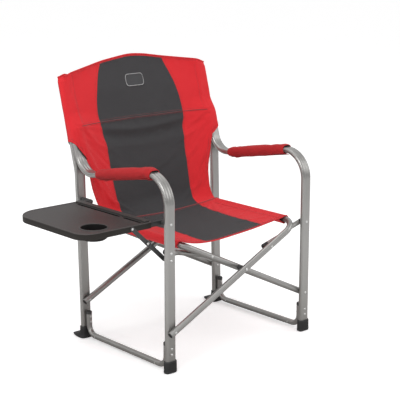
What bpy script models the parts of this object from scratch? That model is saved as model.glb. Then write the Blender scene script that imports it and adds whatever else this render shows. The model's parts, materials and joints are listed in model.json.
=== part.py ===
"""Folding director chair with a fold-down side table, standing open.

Metres, +Z up.  The chair faces -Y.  "Left" in the names is -X, the side of the
table; "front" is towards -Y.  Dimensions count from the floor midway between
the four legs.  At the end everything moves so that the origin is under the
middle of the overall outline, ORIGIN below.

Two side frames carry a scissor of two tube loops, cross_tube_a and cross_tube_b.
The seat rails are the top of the loops, so the seat rises and narrows as the
side frames come together.  Four short links brace the scissor to the legs.
"""

import math

import bmesh
import bpy
import numpy as np
from mathutils import Vector

X_AXIS, Y_AXIS, Z_AXIS = (1, 0, 0), (0, 1, 0), (0, 0, 1)

# ------------------------------------------------------------ driving dimensions
ORIGIN = (-0.12925, 0.04188)   # middle of the overall outline, on the floor
HALF_W = 0.283            # leg centre to chair centre
Y_FRONT = -0.209          # front leg centre line
Y_REAR = 0.209            # rear post centre line at the floor
LEAN = 0.029              # rear post leans back this much per metre
RECLINE = math.radians(15.0)
Z_RECLINE = 0.540         # where the rear post bends back
TAN_RECLINE = math.tan(RECLINE)

TUBE_W = 0.036            # flat-oval side frame tube, wide face
TUBE_T = 0.016            # flat-oval side frame tube, thickness
WALL = 0.0013
CROSS_R = 0.010           # scissor tube radius
LINK_R = 0.008
RAIL_R = 0.009            # floor rail radius
GAP = 0.0003              # clearance between neighbouring parts
HOLE_R = 0.0031           # rivet holes
WIDE_HOLE_R = 0.0045      # hole at the scissor end of a link
SHANK_R = 0.0028          # rivet shank
HEAD_R = 0.0045           # rivet head
BIG_HEAD_R = 0.0055       # head of the scissor bolts

TUBE_END_Z = 0.010        # lower end of legs and posts, inside the feet
ARM_Z = 0.5915            # arm centre height at ARM_Y
ARM_Y = -0.130
ARM_SLOPE = -0.180        # arm falls towards the back
ARM_BEND = 0.085
ARM_REAR_BEND = 0.070
ARM_TOP_Z = 0.672         # upper end of the arm tube, in the back sleeve
POST_TOP_Z = 0.824
POST_BEND = 0.12
POST_OFFSET = (TUBE_T + 0.0004) / math.cos(RECLINE)   # arm tube ahead of post, in the sleeve

Z_LOW = 0.130             # lower scissor pivots
SLOPE = 0.486             # scissor tube slope when open
RAIL_X = 0.226            # seat rail centre
LOOP_BEND = 0.055
LINK_ALONG = 0.120        # crossing to link pivot, along the tube
Z_LINK = 0.366            # link pivot on the leg

THETA = math.atan(SLOPE)
Z_CROSS = Z_LOW + SLOPE * HALF_W
Z_RAIL = Z_LOW + SLOPE * (HALF_W + RAIL_X)
LINK_X = LINK_ALONG * math.cos(THETA)
LINK_Z = Z_CROSS + LINK_ALONG * math.sin(THETA)

Z_HINGE = 0.452           # table hinge
BRACE_ALONG = 0.114       # hinge to brace pivot, along the table
BRACE_DOWN = 0.108        # hinge to brace pivot, down the leg
Z_BACK_JOINT = 0.633


def recline_y(z):
    """Plane of the reclined posts, carried on down to the seat."""
    return Y_REAR + LEAN * Z_RECLINE + TAN_RECLINE * (z - Z_RECLINE)


def post_y(z):
    """Centre line of the rear post."""
    return Y_REAR + LEAN * z if z < Z_RECLINE else recline_y(z)


def post_front(z, clear):
    """Front face of the rear post, with an allowance for its lean."""
    return post_y(z) - TUBE_T / 2 - clear


def post_back(z, clear):
    return post_y(z) + TUBE_T / 2 + clear


def arm_z(y):
    """Centre line of the arm."""
    return ARM_Z + ARM_SLOPE * (y - ARM_Y)


LEG_FRONT, LEG_BACK = Y_FRONT - TUBE_T / 2, Y_FRONT + TUBE_T / 2
# y of the scissor tubes: loop a lies in front of the legs and posts, loop b behind them
LOOP_Y = {
    "a": {"front": LEG_FRONT - GAP - CROSS_R, "rear": post_front(Z_LOW, 0.0010) - CROSS_R},
    "b": {"front": LEG_BACK + GAP + CROSS_R, "rear": post_back(Z_LOW, 0.0032) + CROSS_R},
}
LOOP_SIDE = {"a": 1, "b": -1}   # side on which each loop carries the seat rail

# ------------------------------------------------------------ start clean
for obj in list(bpy.data.objects):
    bpy.data.objects.remove(obj, do_unlink=True)

scene_objects = bpy.context.scene.collection.objects


# ------------------------------------------------------------ materials
def material(name, color, roughness, metallic=0.0):
    made = bpy.data.materials.new(name)
    made.use_nodes = True
    shader = made.node_tree.nodes["Principled BSDF"]
    shader.inputs["Base Color"].default_value = (*color, 1.0)
    shader.inputs["Roughness"].default_value = roughness
    shader.inputs["Metallic"].default_value = metallic
    made.diffuse_color = (*color, 1.0)
    return made


FRAME = material("frame_silver", color=(0.42, 0.41, 0.39), roughness=0.38, metallic=0.75)
STEEL = material("rivet_steel", color=(0.80, 0.80, 0.80), roughness=0.25, metallic=1.0)
BLACK = material("black_plastic", color=(0.030, 0.029, 0.028), roughness=0.55)
TABLE = material("table_plastic", color=(0.055, 0.050, 0.048), roughness=0.60)
BAR = material("black_bar", color=(0.025, 0.024, 0.023), roughness=0.45, metallic=0.3)
RED = material("red_fabric", color=(0.62, 0.035, 0.040), roughness=0.90)
GREY = material("grey_fabric", color=(0.060, 0.060, 0.062), roughness=0.92)


# ------------------------------------------------------------ sections and paths
def circle(radius, facets=12, turn=0.0):
    """Points of a circle, turned on by a share of one facet."""
    angles = [2 * math.pi * (k + turn) / facets for k in range(facets)]
    return [(radius * math.cos(angle), radius * math.sin(angle)) for angle in angles]


def stadium(width, thick, facets=6):
    """Flat-oval outline with a number of facets on each round end."""
    radius, centre = thick / 2, (width - thick) / 2
    points = []
    for end, start in ((centre, -math.pi / 2), (-centre, math.pi / 2)):
        for angle in np.linspace(start, start + math.pi, facets + 1):
            points.append((end + radius * math.cos(angle), radius * math.sin(angle)))
    return points


def oval(extra=0.0, facets=6):
    """Section of the side frame tube, made larger all round by extra / 2."""
    return stadium(TUBE_W + extra, TUBE_T + extra, facets)


def fillet(corners, radii, steps=7):
    """Straight runs joined by arcs."""
    corners = [Vector(point) for point in corners]
    path = [corners[0]]
    for before, corner, after, radius in zip(corners, corners[1:], corners[2:], radii):
        back, ahead = (before - corner).normalized(), (after - corner).normalized()
        angle = back.angle(ahead)
        reach = radius / math.tan(angle / 2)
        centre = corner + (back + ahead).normalized() * (radius / math.sin(angle / 2))
        first = (corner + back * reach - centre) / radius
        last = (corner + ahead * reach - centre) / radius
        sweep = first.angle(last)
        for k in range(steps + 1):
            share = k / steps
            blend = first * math.sin((1 - share) * sweep) + last * math.sin(share * sweep)
            path.append(centre + blend * (radius / math.sin(sweep)))
    path.append(corners[-1])
    return path


def path_rings(path, ref, section):
    """The section set across each point of the path, its first axis along ref."""
    path = [Vector(point) for point in path]
    ref = Vector(ref).normalized()
    rings = []
    for i, point in enumerate(path):
        tangent = Vector()
        if i:
            tangent += (point - path[i - 1]).normalized()
        if i + 1 < len(path):
            tangent += (path[i + 1] - point).normalized()
        tangent.normalize()
        side = tangent.cross(ref).normalized()
        rings.append([point + ref * along + side * across for along, across in section])
    return rings


# ------------------------------------------------------------ bmesh solids
def skin(rings, capped=True):
    """Joins successive rings; capped closes both ends, otherwise the last joins the first."""
    solid = bmesh.new()
    loops = [[solid.verts.new(point) for point in ring] for ring in rings]
    following = loops[1:] if capped else loops[1:] + loops[:1]
    for one, two in zip(loops, following):
        for k in range(len(one)):
            m = (k + 1) % len(one)
            solid.faces.new((one[k], one[m], two[m], two[k]))
    if capped:
        solid.faces.new(loops[0][::-1])
        solid.faces.new(loops[-1])
    return solid


def sweep_solid(path, ref, outer, inner=None):
    """A bar, or with inner a tube that is open at both ends."""
    rings = path_rings(path, ref, outer)
    if inner is None:
        return skin(rings)
    return skin(rings + path_rings(path, ref, inner)[::-1], capped=False)


def lathe(profile, at, axis=Y_AXIS, facets=8):
    """Turned solid: profile is (distance along axis, radius) from end to end."""
    axis = Vector(axis).normalized()
    side = axis.orthogonal().normalized()
    other = axis.cross(side)
    at = Vector(at)
    return skin([[at + axis * distance + side * a + other * b
                  for a, b in circle(radius, facets, turn=0.5)]
                 for distance, radius in profile])


def box(low, high):
    solid = bmesh.new()
    bmesh.ops.create_cube(solid, size=1.0)
    for vert in solid.verts:
        vert.co = [top if c > 0 else bottom for c, bottom, top in zip(vert.co, low, high)]
    return solid


def merged(parts):
    """Several separate solids in one bmesh."""
    whole = bmesh.new()
    for part in parts:
        mesh = bpy.data.meshes.new("part")
        part.to_mesh(mesh)
        part.free()
        whole.from_mesh(mesh)
        bpy.data.meshes.remove(mesh)
    return whole


# ------------------------------------------------------------ objects
places = {}   # world position of each joint


def joint(name, at, parent=None):
    made = bpy.data.objects.new(name, None)
    made.empty_display_size = 0.03
    scene_objects.link(made)
    made.parent = parent
    places[name] = Vector(at)
    made.location = Vector(at) - (places[parent.name] if parent else Vector())
    return made


def finish(name, solid, mat, parent, at=None, sharp=35.0):
    """Turns a bmesh in chair coordinates into an object with its origin at at,
    or at the parent joint."""
    origin = places[parent.name] if at is None else Vector(at)
    bmesh.ops.remove_doubles(solid, verts=solid.verts, dist=1e-6)
    bmesh.ops.recalc_face_normals(solid, faces=solid.faces)
    for vert in solid.verts:
        vert.co -= origin
    mesh = bpy.data.meshes.new(name)
    solid.to_mesh(mesh)
    solid.free()
    mesh.shade_smooth()
    mesh.set_sharp_from_angle(angle=math.radians(sharp))
    mesh.materials.append(mat)
    made = bpy.data.objects.new(name, mesh)
    scene_objects.link(made)
    made.parent = parent
    made.location = origin - places[parent.name]
    return made


def helper(name, solid):
    """Hidden object for a boolean."""
    bmesh.ops.recalc_face_normals(solid, faces=solid.faces)
    mesh = bpy.data.meshes.new(name)
    solid.to_mesh(mesh)
    solid.free()
    made = bpy.data.objects.new(name, mesh)
    scene_objects.link(made)
    made.hide_render = True
    made.display_type = "WIRE"
    return made


def add_boolean(target, other, operation="DIFFERENCE"):
    mod = target.modifiers.new(operation.lower(), "BOOLEAN")
    mod.operation = operation
    mod.solver = "EXACT"
    mod.object = other


def drill(target, name, points, length=0.03, wide=()):
    """Cuts round holes along Y, centred on points; wide ones have WIDE_HOLE_R."""
    holes = [(at, HOLE_R) for at in points] + [(at, WIDE_HOLE_R) for at in wide]
    parts = [lathe([(-length / 2, radius), (length / 2, radius)], at) for at, radius in holes]
    add_boolean(target, helper(name, merged(parts)))


# Rivet heads: (y off the surface, share of the head radius).
# Their flat faces stand 0.2 mm off the surface.
HEAD_OFF = 0.0002
FRONT_HEAD = ((-0.0022, 0.45), (-0.0012, 0.9), (-HEAD_OFF, 1.0))
BACK_HEAD = ((HEAD_OFF, 0.85), (0.0016, 0.6))


def rivet(name, y_front, y_back, x, z, parent, head_r=HEAD_R, front_head=True, back_head=True):
    """Rivet along Y between two outer surfaces."""
    length = y_back - y_front
    profile = [(0.0, SHANK_R)]
    if front_head:
        profile = [(y, head_r * share) for y, share in FRONT_HEAD] + [(-HEAD_OFF, SHANK_R)]
    if back_head:
        profile.append((length + HEAD_OFF, SHANK_R))
        profile += [(length + y, head_r * share) for y, share in BACK_HEAD]
    else:
        profile.append((length, SHANK_R))
    finish(name, lathe(profile, (x, y_front, z)), STEEL, parent,
           at=(x, (y_front + y_back) / 2, z), sharp=50)


def spacer(name, y_front, y_back, x, z, parent, radius=0.0070):
    """Bored spacer along Y, GAP short of the surfaces at both ends."""
    start, end = y_front + GAP, y_back - GAP
    rings = [[(x + a, y, z + b) for a, b in circle(ring_r, 10)]
             for y, ring_r in ((start, radius), (end, radius), (end, HOLE_R), (start, HOLE_R))]
    finish(name, skin(rings, capped=False), BLACK, parent, at=(x, (y_front + y_back) / 2, z))


# ------------------------------------------------------------ joints
root = joint("side_frame_left_root", (-HALF_W, 0, Z_LOW))
fold_a = joint("fold_joint", (-HALF_W, 0, Z_LOW), root)
fold_b = joint("scissor_joint", (0, 0, Z_CROSS), fold_a)
right = joint("side_frame_right_joint", (HALF_W, 0, Z_LOW), fold_b)
seat_l = joint("seat_left_joint", (-RAIL_X, 0, Z_RAIL), fold_b)
seat_r = joint("seat_right_joint", (0, 0, Z_RAIL), seat_l)
back_l = joint("back_left_joint", (-HALF_W, post_y(Z_BACK_JOINT), Z_BACK_JOINT), root)
back_r = joint("back_right_joint", (0, post_y(Z_BACK_JOINT), Z_BACK_JOINT), back_l)
table_joint = joint("table_joint", (-HALF_W, 0, Z_HINGE), root)

SIDES = ((-1, "left", root), (1, "right", right))
LOOP_JOINT = {"a": fold_a, "b": fold_b}

# ------------------------------------------------------------ side frames
RAIL_Z = 0.0145           # floor rail centre, along the floor
RAIL_TOP = 0.089          # ends of the floor rail
RAIL_BEND = 0.032
RAIL_Y_FRONT = LEG_BACK + GAP + RAIL_R
RAIL_Y_REAR = post_front(RAIL_TOP, 0.0025) - RAIL_R
Z_RAIL_RIVET = 0.074
POCKET_Z = 0.0096         # floor of the pockets in the feet

# front foot: (z, width, thickness), up the outside and down the pocket
FRONT_FOOT = (
    (0.0, 0.040, 0.020), (0.0035, 0.0445, 0.0245), (0.0350, 0.0435, 0.0235),
    (0.0370, 0.0415, 0.0215), (0.0370, 0.0368, 0.0168), (POCKET_Z, 0.0368, 0.0168),
)
# flared sole of the rear foot: (z, half width, reach to the back, reach to the front)
REAR_SOLE = (
    (0.0, 0.0245, 0.050, 0.0130), (0.0050, 0.0255, 0.052, 0.0140),
    (0.0090, 0.0240, 0.040, 0.0135), (0.0170, 0.0215, 0.017, 0.0116),
    (0.0330, 0.0212, 0.0122, 0.0113),
)
# top and pocket of the rear foot, same columns as FRONT_FOOT
REAR_CUP = ((0.0390, 0.0425, 0.0225), (0.0390, 0.0370, 0.0170), (POCKET_Z, 0.0370, 0.0170))
SOLE_BASE = (0.0425, 0.0225)   # oval that is stretched into the sole rings

PAD_Y = {-1: (-0.140, 0.116), 1: (-0.122, 0.134)}   # armrest pad, front and rear end
PAD_SECTION = (0.048, 0.034)   # width and thickness
PAD_BORE = 0.0012         # bore larger than the tube


def arm_path(x):
    """Front leg, arm and the short run up along the rear post."""
    # rear corner: where the arm line meets the line just in front of the post
    y = (recline_y(arm_z(0)) - POST_OFFSET) / (1 - TAN_RECLINE * ARM_SLOPE)
    return fillet([(x, Y_FRONT, TUBE_END_Z), (x, Y_FRONT, arm_z(Y_FRONT)), (x, y, arm_z(y)),
                   (x, recline_y(ARM_TOP_Z) - POST_OFFSET, ARM_TOP_Z)],
                  [ARM_BEND, ARM_REAR_BEND])


def post_path(x):
    return fillet([(x, post_y(z), z) for z in (TUBE_END_Z, Z_RECLINE, POST_TOP_Z)],
                  [POST_BEND], 4)


def rail_path(x):
    return fillet([(x, RAIL_Y_FRONT, RAIL_TOP), (x, RAIL_Y_FRONT, RAIL_Z),
                   (x, RAIL_Y_REAR, RAIL_Z), (x, RAIL_Y_REAR, RAIL_TOP)],
                  [RAIL_BEND, RAIL_BEND], 6)


def side_tubes(side, name, parent):
    x = side * HALF_W
    hollow = oval(-2 * WALL)
    arm = finish(f"arm_leg_tube_{name}", sweep_solid(arm_path(x), X_AXIS, oval(), hollow),
                 FRAME, parent)
    post = finish(f"rear_post_{name}", sweep_solid(post_path(x), X_AXIS, oval(), hollow),
                  FRAME, parent)
    rail = finish(f"floor_rail_{name}",
                  sweep_solid(rail_path(x), X_AXIS, circle(RAIL_R), circle(RAIL_R - WALL)),
                  FRAME, parent)

    leg_z = [Z_RAIL_RIVET, Z_LOW, Z_LINK]
    post_z = list(leg_z)
    if side < 0:   # the table side
        leg_z += [Z_HINGE, Z_HINGE - BRACE_DOWN]
        post_z.append(Z_HINGE)
    drill(arm, f"arm_holes_{name}", [(x, Y_FRONT, z) for z in leg_z])
    drill(post, f"post_holes_{name}", [(x, post_y(z), z) for z in post_z])
    drill(rail, f"rail_holes_{name}", [(x, y, Z_RAIL_RIVET) for y in (RAIL_Y_FRONT, RAIL_Y_REAR)])

    rivet(f"rail_rivet_front_{name}", LEG_FRONT, RAIL_Y_FRONT + RAIL_R, x, Z_RAIL_RIVET, parent)
    rivet(f"rail_rivet_rear_{name}", RAIL_Y_REAR - RAIL_R, post_back(Z_RAIL_RIVET, 0.0003),
          x, Z_RAIL_RIVET, parent)


def oval_ring(x, y, z, width, thick):
    return [(x + a, y + b, z) for a, b in stadium(width, thick)]


def sole_ring(x, z, half_width, back, front):
    """Oval ring around the rear post, stretched differently to back and front."""
    base_w, base_t = SOLE_BASE[0] / 2, SOLE_BASE[1] / 2
    return [(x + a / base_w * half_width,
             post_y(TUBE_END_Z) + b * (back if b > 0 else front) / base_t, z)
            for a, b in stadium(*SOLE_BASE)]


def feet(side, name, parent):
    x = side * HALF_W
    rings = [oval_ring(x, Y_FRONT, *station) for station in FRONT_FOOT]
    front_foot = finish(f"foot_front_{name}", skin(rings), BLACK, parent, at=(x, Y_FRONT, 0))

    rings = [sole_ring(x, *station) for station in REAR_SOLE]
    rings += [oval_ring(x, post_y(station[0]), *station) for station in REAR_CUP]
    rear_foot = finish(f"foot_rear_{name}", skin(rings), BLACK, parent, at=(x, Y_REAR, 0))

    groove = helper(f"foot_groove_{name}",
                    sweep_solid(rail_path(x), X_AXIS, circle(RAIL_R + 0.0005)))
    add_boolean(front_foot, groove)
    add_boolean(rear_foot, groove)


def armrest_pad(side, name, parent):
    """Foam sleeve around the arm tube."""
    x = side * HALF_W
    path = arm_path(x)
    start, end = PAD_Y[side]
    run = [point for point in path if start < point.y < end and point.z > 0.53]
    before = [point for point in path if point.y <= start and point.z > 0.5][-1]
    first = before.lerp(run[0], (start - before.y) / (run[0].y - before.y))
    last = Vector((x, end, arm_z(end)))
    solid = sweep_solid([first, *run, last], X_AXIS, stadium(*PAD_SECTION, 7), oval(PAD_BORE, 7))
    finish(f"armrest_pad_{name}", solid, RED, parent)


for frame_side in SIDES:
    side_tubes(*frame_side)
    feet(*frame_side)
    armrest_pad(*frame_side)

# ------------------------------------------------------------ scissor loops
LOOP_END = 0.016          # tube runs on past its lower pivot
# plug in the tube end: (distance out of the tube, radius)
PLUG = ((-0.012, 0.0078), (0.0003, 0.0082), (0.0003, 0.0097), (0.0020, 0.0097), (0.0030, 0.0085))


def loop_direction(side):
    """Unit vector up along the scissor tube."""
    return Vector((side * math.cos(THETA), 0, math.sin(THETA)))


def loop_low_end(side):
    """x and z of the lower tube ends."""
    return (-side * (HALF_W + LOOP_END * math.cos(THETA)), Z_LOW - LOOP_END * math.sin(THETA))


def loop_solid(loop, outer, inner=None):
    side = LOOP_SIDE[loop]
    front, rear = LOOP_Y[loop]["front"], LOOP_Y[loop]["rear"]
    x, z = loop_low_end(side)
    path = fillet([(x, front, z), (side * RAIL_X, front, Z_RAIL),
                   (side * RAIL_X, rear, Z_RAIL), (x, rear, z)], [LOOP_BEND, LOOP_BEND])
    return sweep_solid(path, loop_direction(side).cross(Vector(Y_AXIS)), outer, inner)


def cross_tube(loop):
    side, parent = LOOP_SIDE[loop], LOOP_JOINT[loop]
    tube = finish(f"cross_tube_{loop}", loop_solid(loop, circle(CROSS_R), circle(CROSS_R - WALL)),
                  FRAME, parent)
    pivots = ((-side * HALF_W, Z_LOW), (0.0, Z_CROSS), (side * LINK_X, LINK_Z))
    drill(tube, f"cross_holes_{loop}",
          [(x, y, z) for y in LOOP_Y[loop].values() for x, z in pivots])
    x, z = loop_low_end(side)
    for end, y in LOOP_Y[loop].items():
        finish(f"tube_plug_{loop}_{end}", lathe(PLUG, (x, y, z), -loop_direction(side), 12),
               BLACK, parent, at=(x, y, z))
        # carries the link's far end: it stops at the back of the scissor tube
        rivet(f"link_bolt_{loop}_{end}", y - CROSS_R, y + CROSS_R, side * LINK_X, LINK_Z,
              parent, back_head=False)


def lower_pivots():
    """Loop a to the left legs, loop b to the right legs."""
    loop_a, loop_b = LOOP_Y["a"], LOOP_Y["b"]
    rivet("pivot_bolt_a_front", loop_a["front"] - CROSS_R, LEG_BACK, -HALF_W, Z_LOW, root)
    rivet("pivot_bolt_a_rear", loop_a["rear"] - CROSS_R, post_back(Z_LOW, 0.0004),
          -HALF_W, Z_LOW, root)
    rivet("pivot_bolt_b_front", LEG_FRONT, loop_b["front"] + CROSS_R, HALF_W, Z_LOW, right)
    rivet("pivot_bolt_b_rear", post_front(Z_LOW, 0.0004), loop_b["rear"] + CROSS_R,
          HALF_W, Z_LOW, right)


def crossing(end):
    """Bolt and spacer where the loops cross."""
    y_a, y_b = LOOP_Y["a"][end], LOOP_Y["b"][end]
    rivet(f"scissor_bolt_{end}", y_a - CROSS_R, y_b + CROSS_R, 0, Z_CROSS, fold_a,
          head_r=BIG_HEAD_R)
    spacer(f"scissor_spacer_{end}", y_a + CROSS_R, y_b - CROSS_R, 0, Z_CROSS, fold_a)


for loop_name in LOOP_Y:
    cross_tube(loop_name)
lower_pivots()
for end_name in ("front", "rear"):
    crossing(end_name)

# ------------------------------------------------------------ links
LEG_OVERRUN, TUBE_OVERRUN = 0.0075, 0.014   # link runs on past its pivots
LINK_JOG = {-1: (0.034, 0.064), 1: (0.060, 0.100)}   # sideways step, along from the leg pivot
LINK_BEND = 0.03
# per end: link y at the leg, and front surface of the leg
LINK_AT_LEG = {
    "front": (LEG_BACK + GAP + LINK_R, LEG_FRONT),
    "rear": (post_back(Z_LINK, 0.0019) + LINK_R, post_front(Z_LINK, 0.0003)),
}


def link(end, side, side_name, side_joint):
    name = f"link_{end}_{side_name}"
    y_leg, leg_front = LINK_AT_LEG[end]
    y_tube = LOOP_Y["b" if side < 0 else "a"][end] + CROSS_R + GAP + LINK_R
    pivot = joint(f"{name}_joint", (side * HALF_W, y_leg, Z_LINK), side_joint)
    leg = Vector((side * HALF_W, 0, Z_LINK))
    far = Vector((side * LINK_X, 0, LINK_Z))
    along = (far - leg).normalized()
    length = (far - leg).length

    def at(distance, y):
        point = leg + along * distance
        return Vector((point.x, y, point.z))

    jog_start, jog_end = LINK_JOG[side]
    path = fillet([at(-LEG_OVERRUN, y_leg), at(jog_start, y_leg), at(jog_end, y_tube),
                   at(length + TUBE_OVERRUN, y_tube)], [LINK_BEND, LINK_BEND], 3)
    solid = sweep_solid(path, along.cross(Vector(Y_AXIS)),
                        circle(LINK_R, 10), circle(LINK_R - WALL, 10))
    tube = finish(name, solid, FRAME, pivot)
    drill(tube, f"{name}_holes", [at(0, y_leg)], wide=[at(length, y_tube)])
    rivet(f"link_rivet_{end}_{side_name}", leg_front, y_leg + LINK_R, side * HALF_W, Z_LINK,
          side_joint)


for end_name in LINK_AT_LEG:
    for frame_side in SIDES:
        link(end_name, *frame_side)

# ------------------------------------------------------------ side table
TABLE_TOP = 0.461
TABLE_X = (-0.567, -0.322)
TABLE_Y = (-0.180, 0.175)
OUTER_CORNERS = (0.050, 0.078)   # corner radii on the -X side, front and rear
INNER_CORNER = 0.008      # corner radius on the hinge side
INNER_CORNER_MIN = 0.003
SKIRT = 0.018             # skirt height
SKIRT_T = 0.0030          # skirt thickness
DECK_UNDER = TABLE_TOP - 0.0042

CUP = (-0.485, -0.118)    # centre of the cup holder
CUP_R = 0.0375
CUP_FLOOR = 0.429
# (z, radius) up the outside of the cup holder, and up its well
CUP_WALL = (
    (CUP_FLOOR - 0.003, CUP_R - 0.004), (CUP_FLOOR + 0.002, CUP_R + 0.0005),
    (TABLE_TOP - 0.001, CUP_R + 0.0035), (TABLE_TOP + 0.0010, CUP_R + 0.0060),
    (TABLE_TOP + 0.0010, CUP_R + 0.0020),
)
CUP_WELL = (
    (CUP_FLOOR, CUP_R - 0.006), (CUP_FLOOR + 0.003, CUP_R - 0.0035),
    (TABLE_TOP - 0.003, CUP_R - 0.0005), (TABLE_TOP + 0.004, CUP_R + 0.0015),
)

SLOT_X = -0.3495
SLOT_W = 0.0100
SLOTS_Y = ((-0.162, -0.080), (-0.062, 0.146))
NOTCH_Y = 0.0072          # far side of a notch from the table edge
NOTCH_LOW = 0.4400

BAR_T = 0.0030            # thickness of the table arms
ARM_BARS = {              # front and back face of each table arm, inside the skirt
    "front": (TABLE_Y[0] + SKIRT_T + GAP, TABLE_Y[0] + SKIRT_T + GAP + BAR_T),
    "rear": (TABLE_Y[1] - SKIRT_T - GAP - BAR_T, TABLE_Y[1] - SKIRT_T - GAP),
}
HINGE_X = -HALF_W
PIN_X = HINGE_X - BRACE_ALONG   # rivets that join the arms to the skirt
ARM_PAST_PIN = 0.055
ARM_HALF = 0.0078         # half the height of a table arm


def table_outline(inset, z):
    """Large rounded outer corners, small radii on the hinge side."""
    x_out, x_in = TABLE_X[0] + inset, TABLE_X[1] - inset
    y_front, y_rear = TABLE_Y[0] + inset, TABLE_Y[1] - inset
    front_r, rear_r = (radius - inset for radius in OUTER_CORNERS)
    small = max(INNER_CORNER - inset, INNER_CORNER_MIN)
    # centre x and y, radius, start angle, steps
    corners = (
        (x_in - small, y_front + small, small, -90, 3),
        (x_in - small, y_rear - small, small, 0, 3),
        (x_out + rear_r, y_rear - rear_r, rear_r, 90, 8),
        (x_out + front_r, y_front + front_r, front_r, 180, 7),
    )
    points = []
    for x, y, radius, start, steps in corners:
        for k in range(steps + 1):
            angle = math.radians(start + 90 * k / steps)
            points.append((x + radius * math.cos(angle), y + radius * math.sin(angle), z))
    return points


def table_lip():
    """Raised lip along the hinge side."""
    lip = box((TABLE_X[1] - 0.022, TABLE_Y[0] + 0.010, TABLE_TOP - 0.0026),
              (TABLE_X[1] - 0.002, TABLE_Y[1] - 0.010, TABLE_TOP + 0.0042))
    bmesh.ops.bevel(lip, geom=list(lip.edges), offset=0.0018, segments=2, affect="EDGES",
                    profile=0.5)
    return lip


def table_slots():
    """Two long slots beside the lip."""
    return merged([skin([[(SLOT_X + b, (start + end) / 2 + a, z)
                          for a, b in stadium(end - start, SLOT_W, 4)]
                         for z in (TABLE_TOP - 0.02, TABLE_TOP + 0.01)])
                   for start, end in SLOTS_Y])


def table_notches():
    """Openings in the skirt on the hinge side, where the arms pass through."""
    return merged([box((TABLE_X[1] - 0.0090, start, NOTCH_LOW),
                       (TABLE_X[1] + 0.0050, end, TABLE_TOP - 0.0043))
                   for start, end in ((TABLE_Y[0] + SKIRT_T, TABLE_Y[0] + NOTCH_Y),
                                      (TABLE_Y[1] - NOTCH_Y, TABLE_Y[1] - SKIRT_T))])


def table_top():
    # (inset, z) from the underside of the deck, down and up the skirt, over the rim
    stations = (
        (SKIRT_T, DECK_UNDER), (SKIRT_T, TABLE_TOP - SKIRT), (0.0, TABLE_TOP - SKIRT),
        (0.0, TABLE_TOP - 0.0022), (0.0008, TABLE_TOP - 0.0006), (0.0024, TABLE_TOP),
        (0.0068, TABLE_TOP), (0.0080, TABLE_TOP - 0.0012),
    )
    table = finish("table_top", skin([table_outline(*station) for station in stations]),
                   TABLE, table_joint, sharp=30)
    add_boolean(table, helper("table_lip", table_lip()), "UNION")
    add_boolean(table, helper("cup_wall", lathe(CUP_WALL, (*CUP, 0), Z_AXIS, 22)), "UNION")
    add_boolean(table, helper("cup_well", lathe(CUP_WELL, (*CUP, 0), Z_AXIS, 22)))
    add_boolean(table, helper("table_slots", table_slots()))
    add_boolean(table, helper("table_notches", table_notches()))
    drill(table, "skirt_holes", [(PIN_X, TABLE_Y[0] + SKIRT_T / 2, Z_HINGE),
                                 (PIN_X, TABLE_Y[1] - SKIRT_T / 2, Z_HINGE)], length=0.006)


def flat_bar(name, start, end, half, faces, parent, holes):
    """Flat bar with round ends between two (x, z) points; faces are its two y."""
    start, end = Vector(start), Vector(end)
    along = (end - start).normalized()
    normal = Vector((-along.y, along.x))
    outline = []
    for centre, first_angle in ((end, -90), (start, 90)):
        for k in range(6):
            angle = math.radians(first_angle + 36 * k)
            outline.append(centre + (along * math.cos(angle) + normal * math.sin(angle)) * half)
    rings = [[(point.x, y, point.y) for point in outline] for y in faces]
    bar = finish(name, skin(rings), BAR, parent)
    drill(bar, f"{name}_holes", [(x, sum(faces) / 2, z) for x, z in holes], length=0.02)
    return bar


def table_arms():
    """Two bars inside the skirt, cut down where the deck is."""
    deck_room = helper("deck_room", box((TABLE_X[1] - 0.194, -0.25, TABLE_TOP - 0.0045),
                                        (TABLE_X[1] + 0.006, 0.25, TABLE_TOP + 0.0155)))
    hinge, pin = (HINGE_X, Z_HINGE), (PIN_X, Z_HINGE)
    for end, faces in ARM_BARS.items():
        arm = flat_bar(f"table_arm_{end}", hinge, (PIN_X - ARM_PAST_PIN, Z_HINGE), ARM_HALF,
                       faces, table_joint, [hinge, pin])
        add_boolean(arm, deck_room)


def table_hinge():
    """Hinge pins through the legs, with a spacer to each arm, and the rear skirt rivet."""
    front, rear = ARM_BARS["front"], ARM_BARS["rear"]
    at = (HINGE_X, Z_HINGE, root)
    rivet("table_hinge_pin_front", LEG_FRONT, front[1], *at)
    rivet("table_hinge_pin_rear", rear[0], post_back(Z_HINGE, 0.0004), *at)
    spacer("table_spacer_front", LEG_BACK, front[0], *at, radius=0.0065)
    spacer("table_spacer_rear", rear[1], post_front(Z_HINGE, 0.0002), *at, radius=0.0080)
    rivet("table_rivet_rear", rear[0], TABLE_Y[1], PIN_X, Z_HINGE, table_joint)


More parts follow.
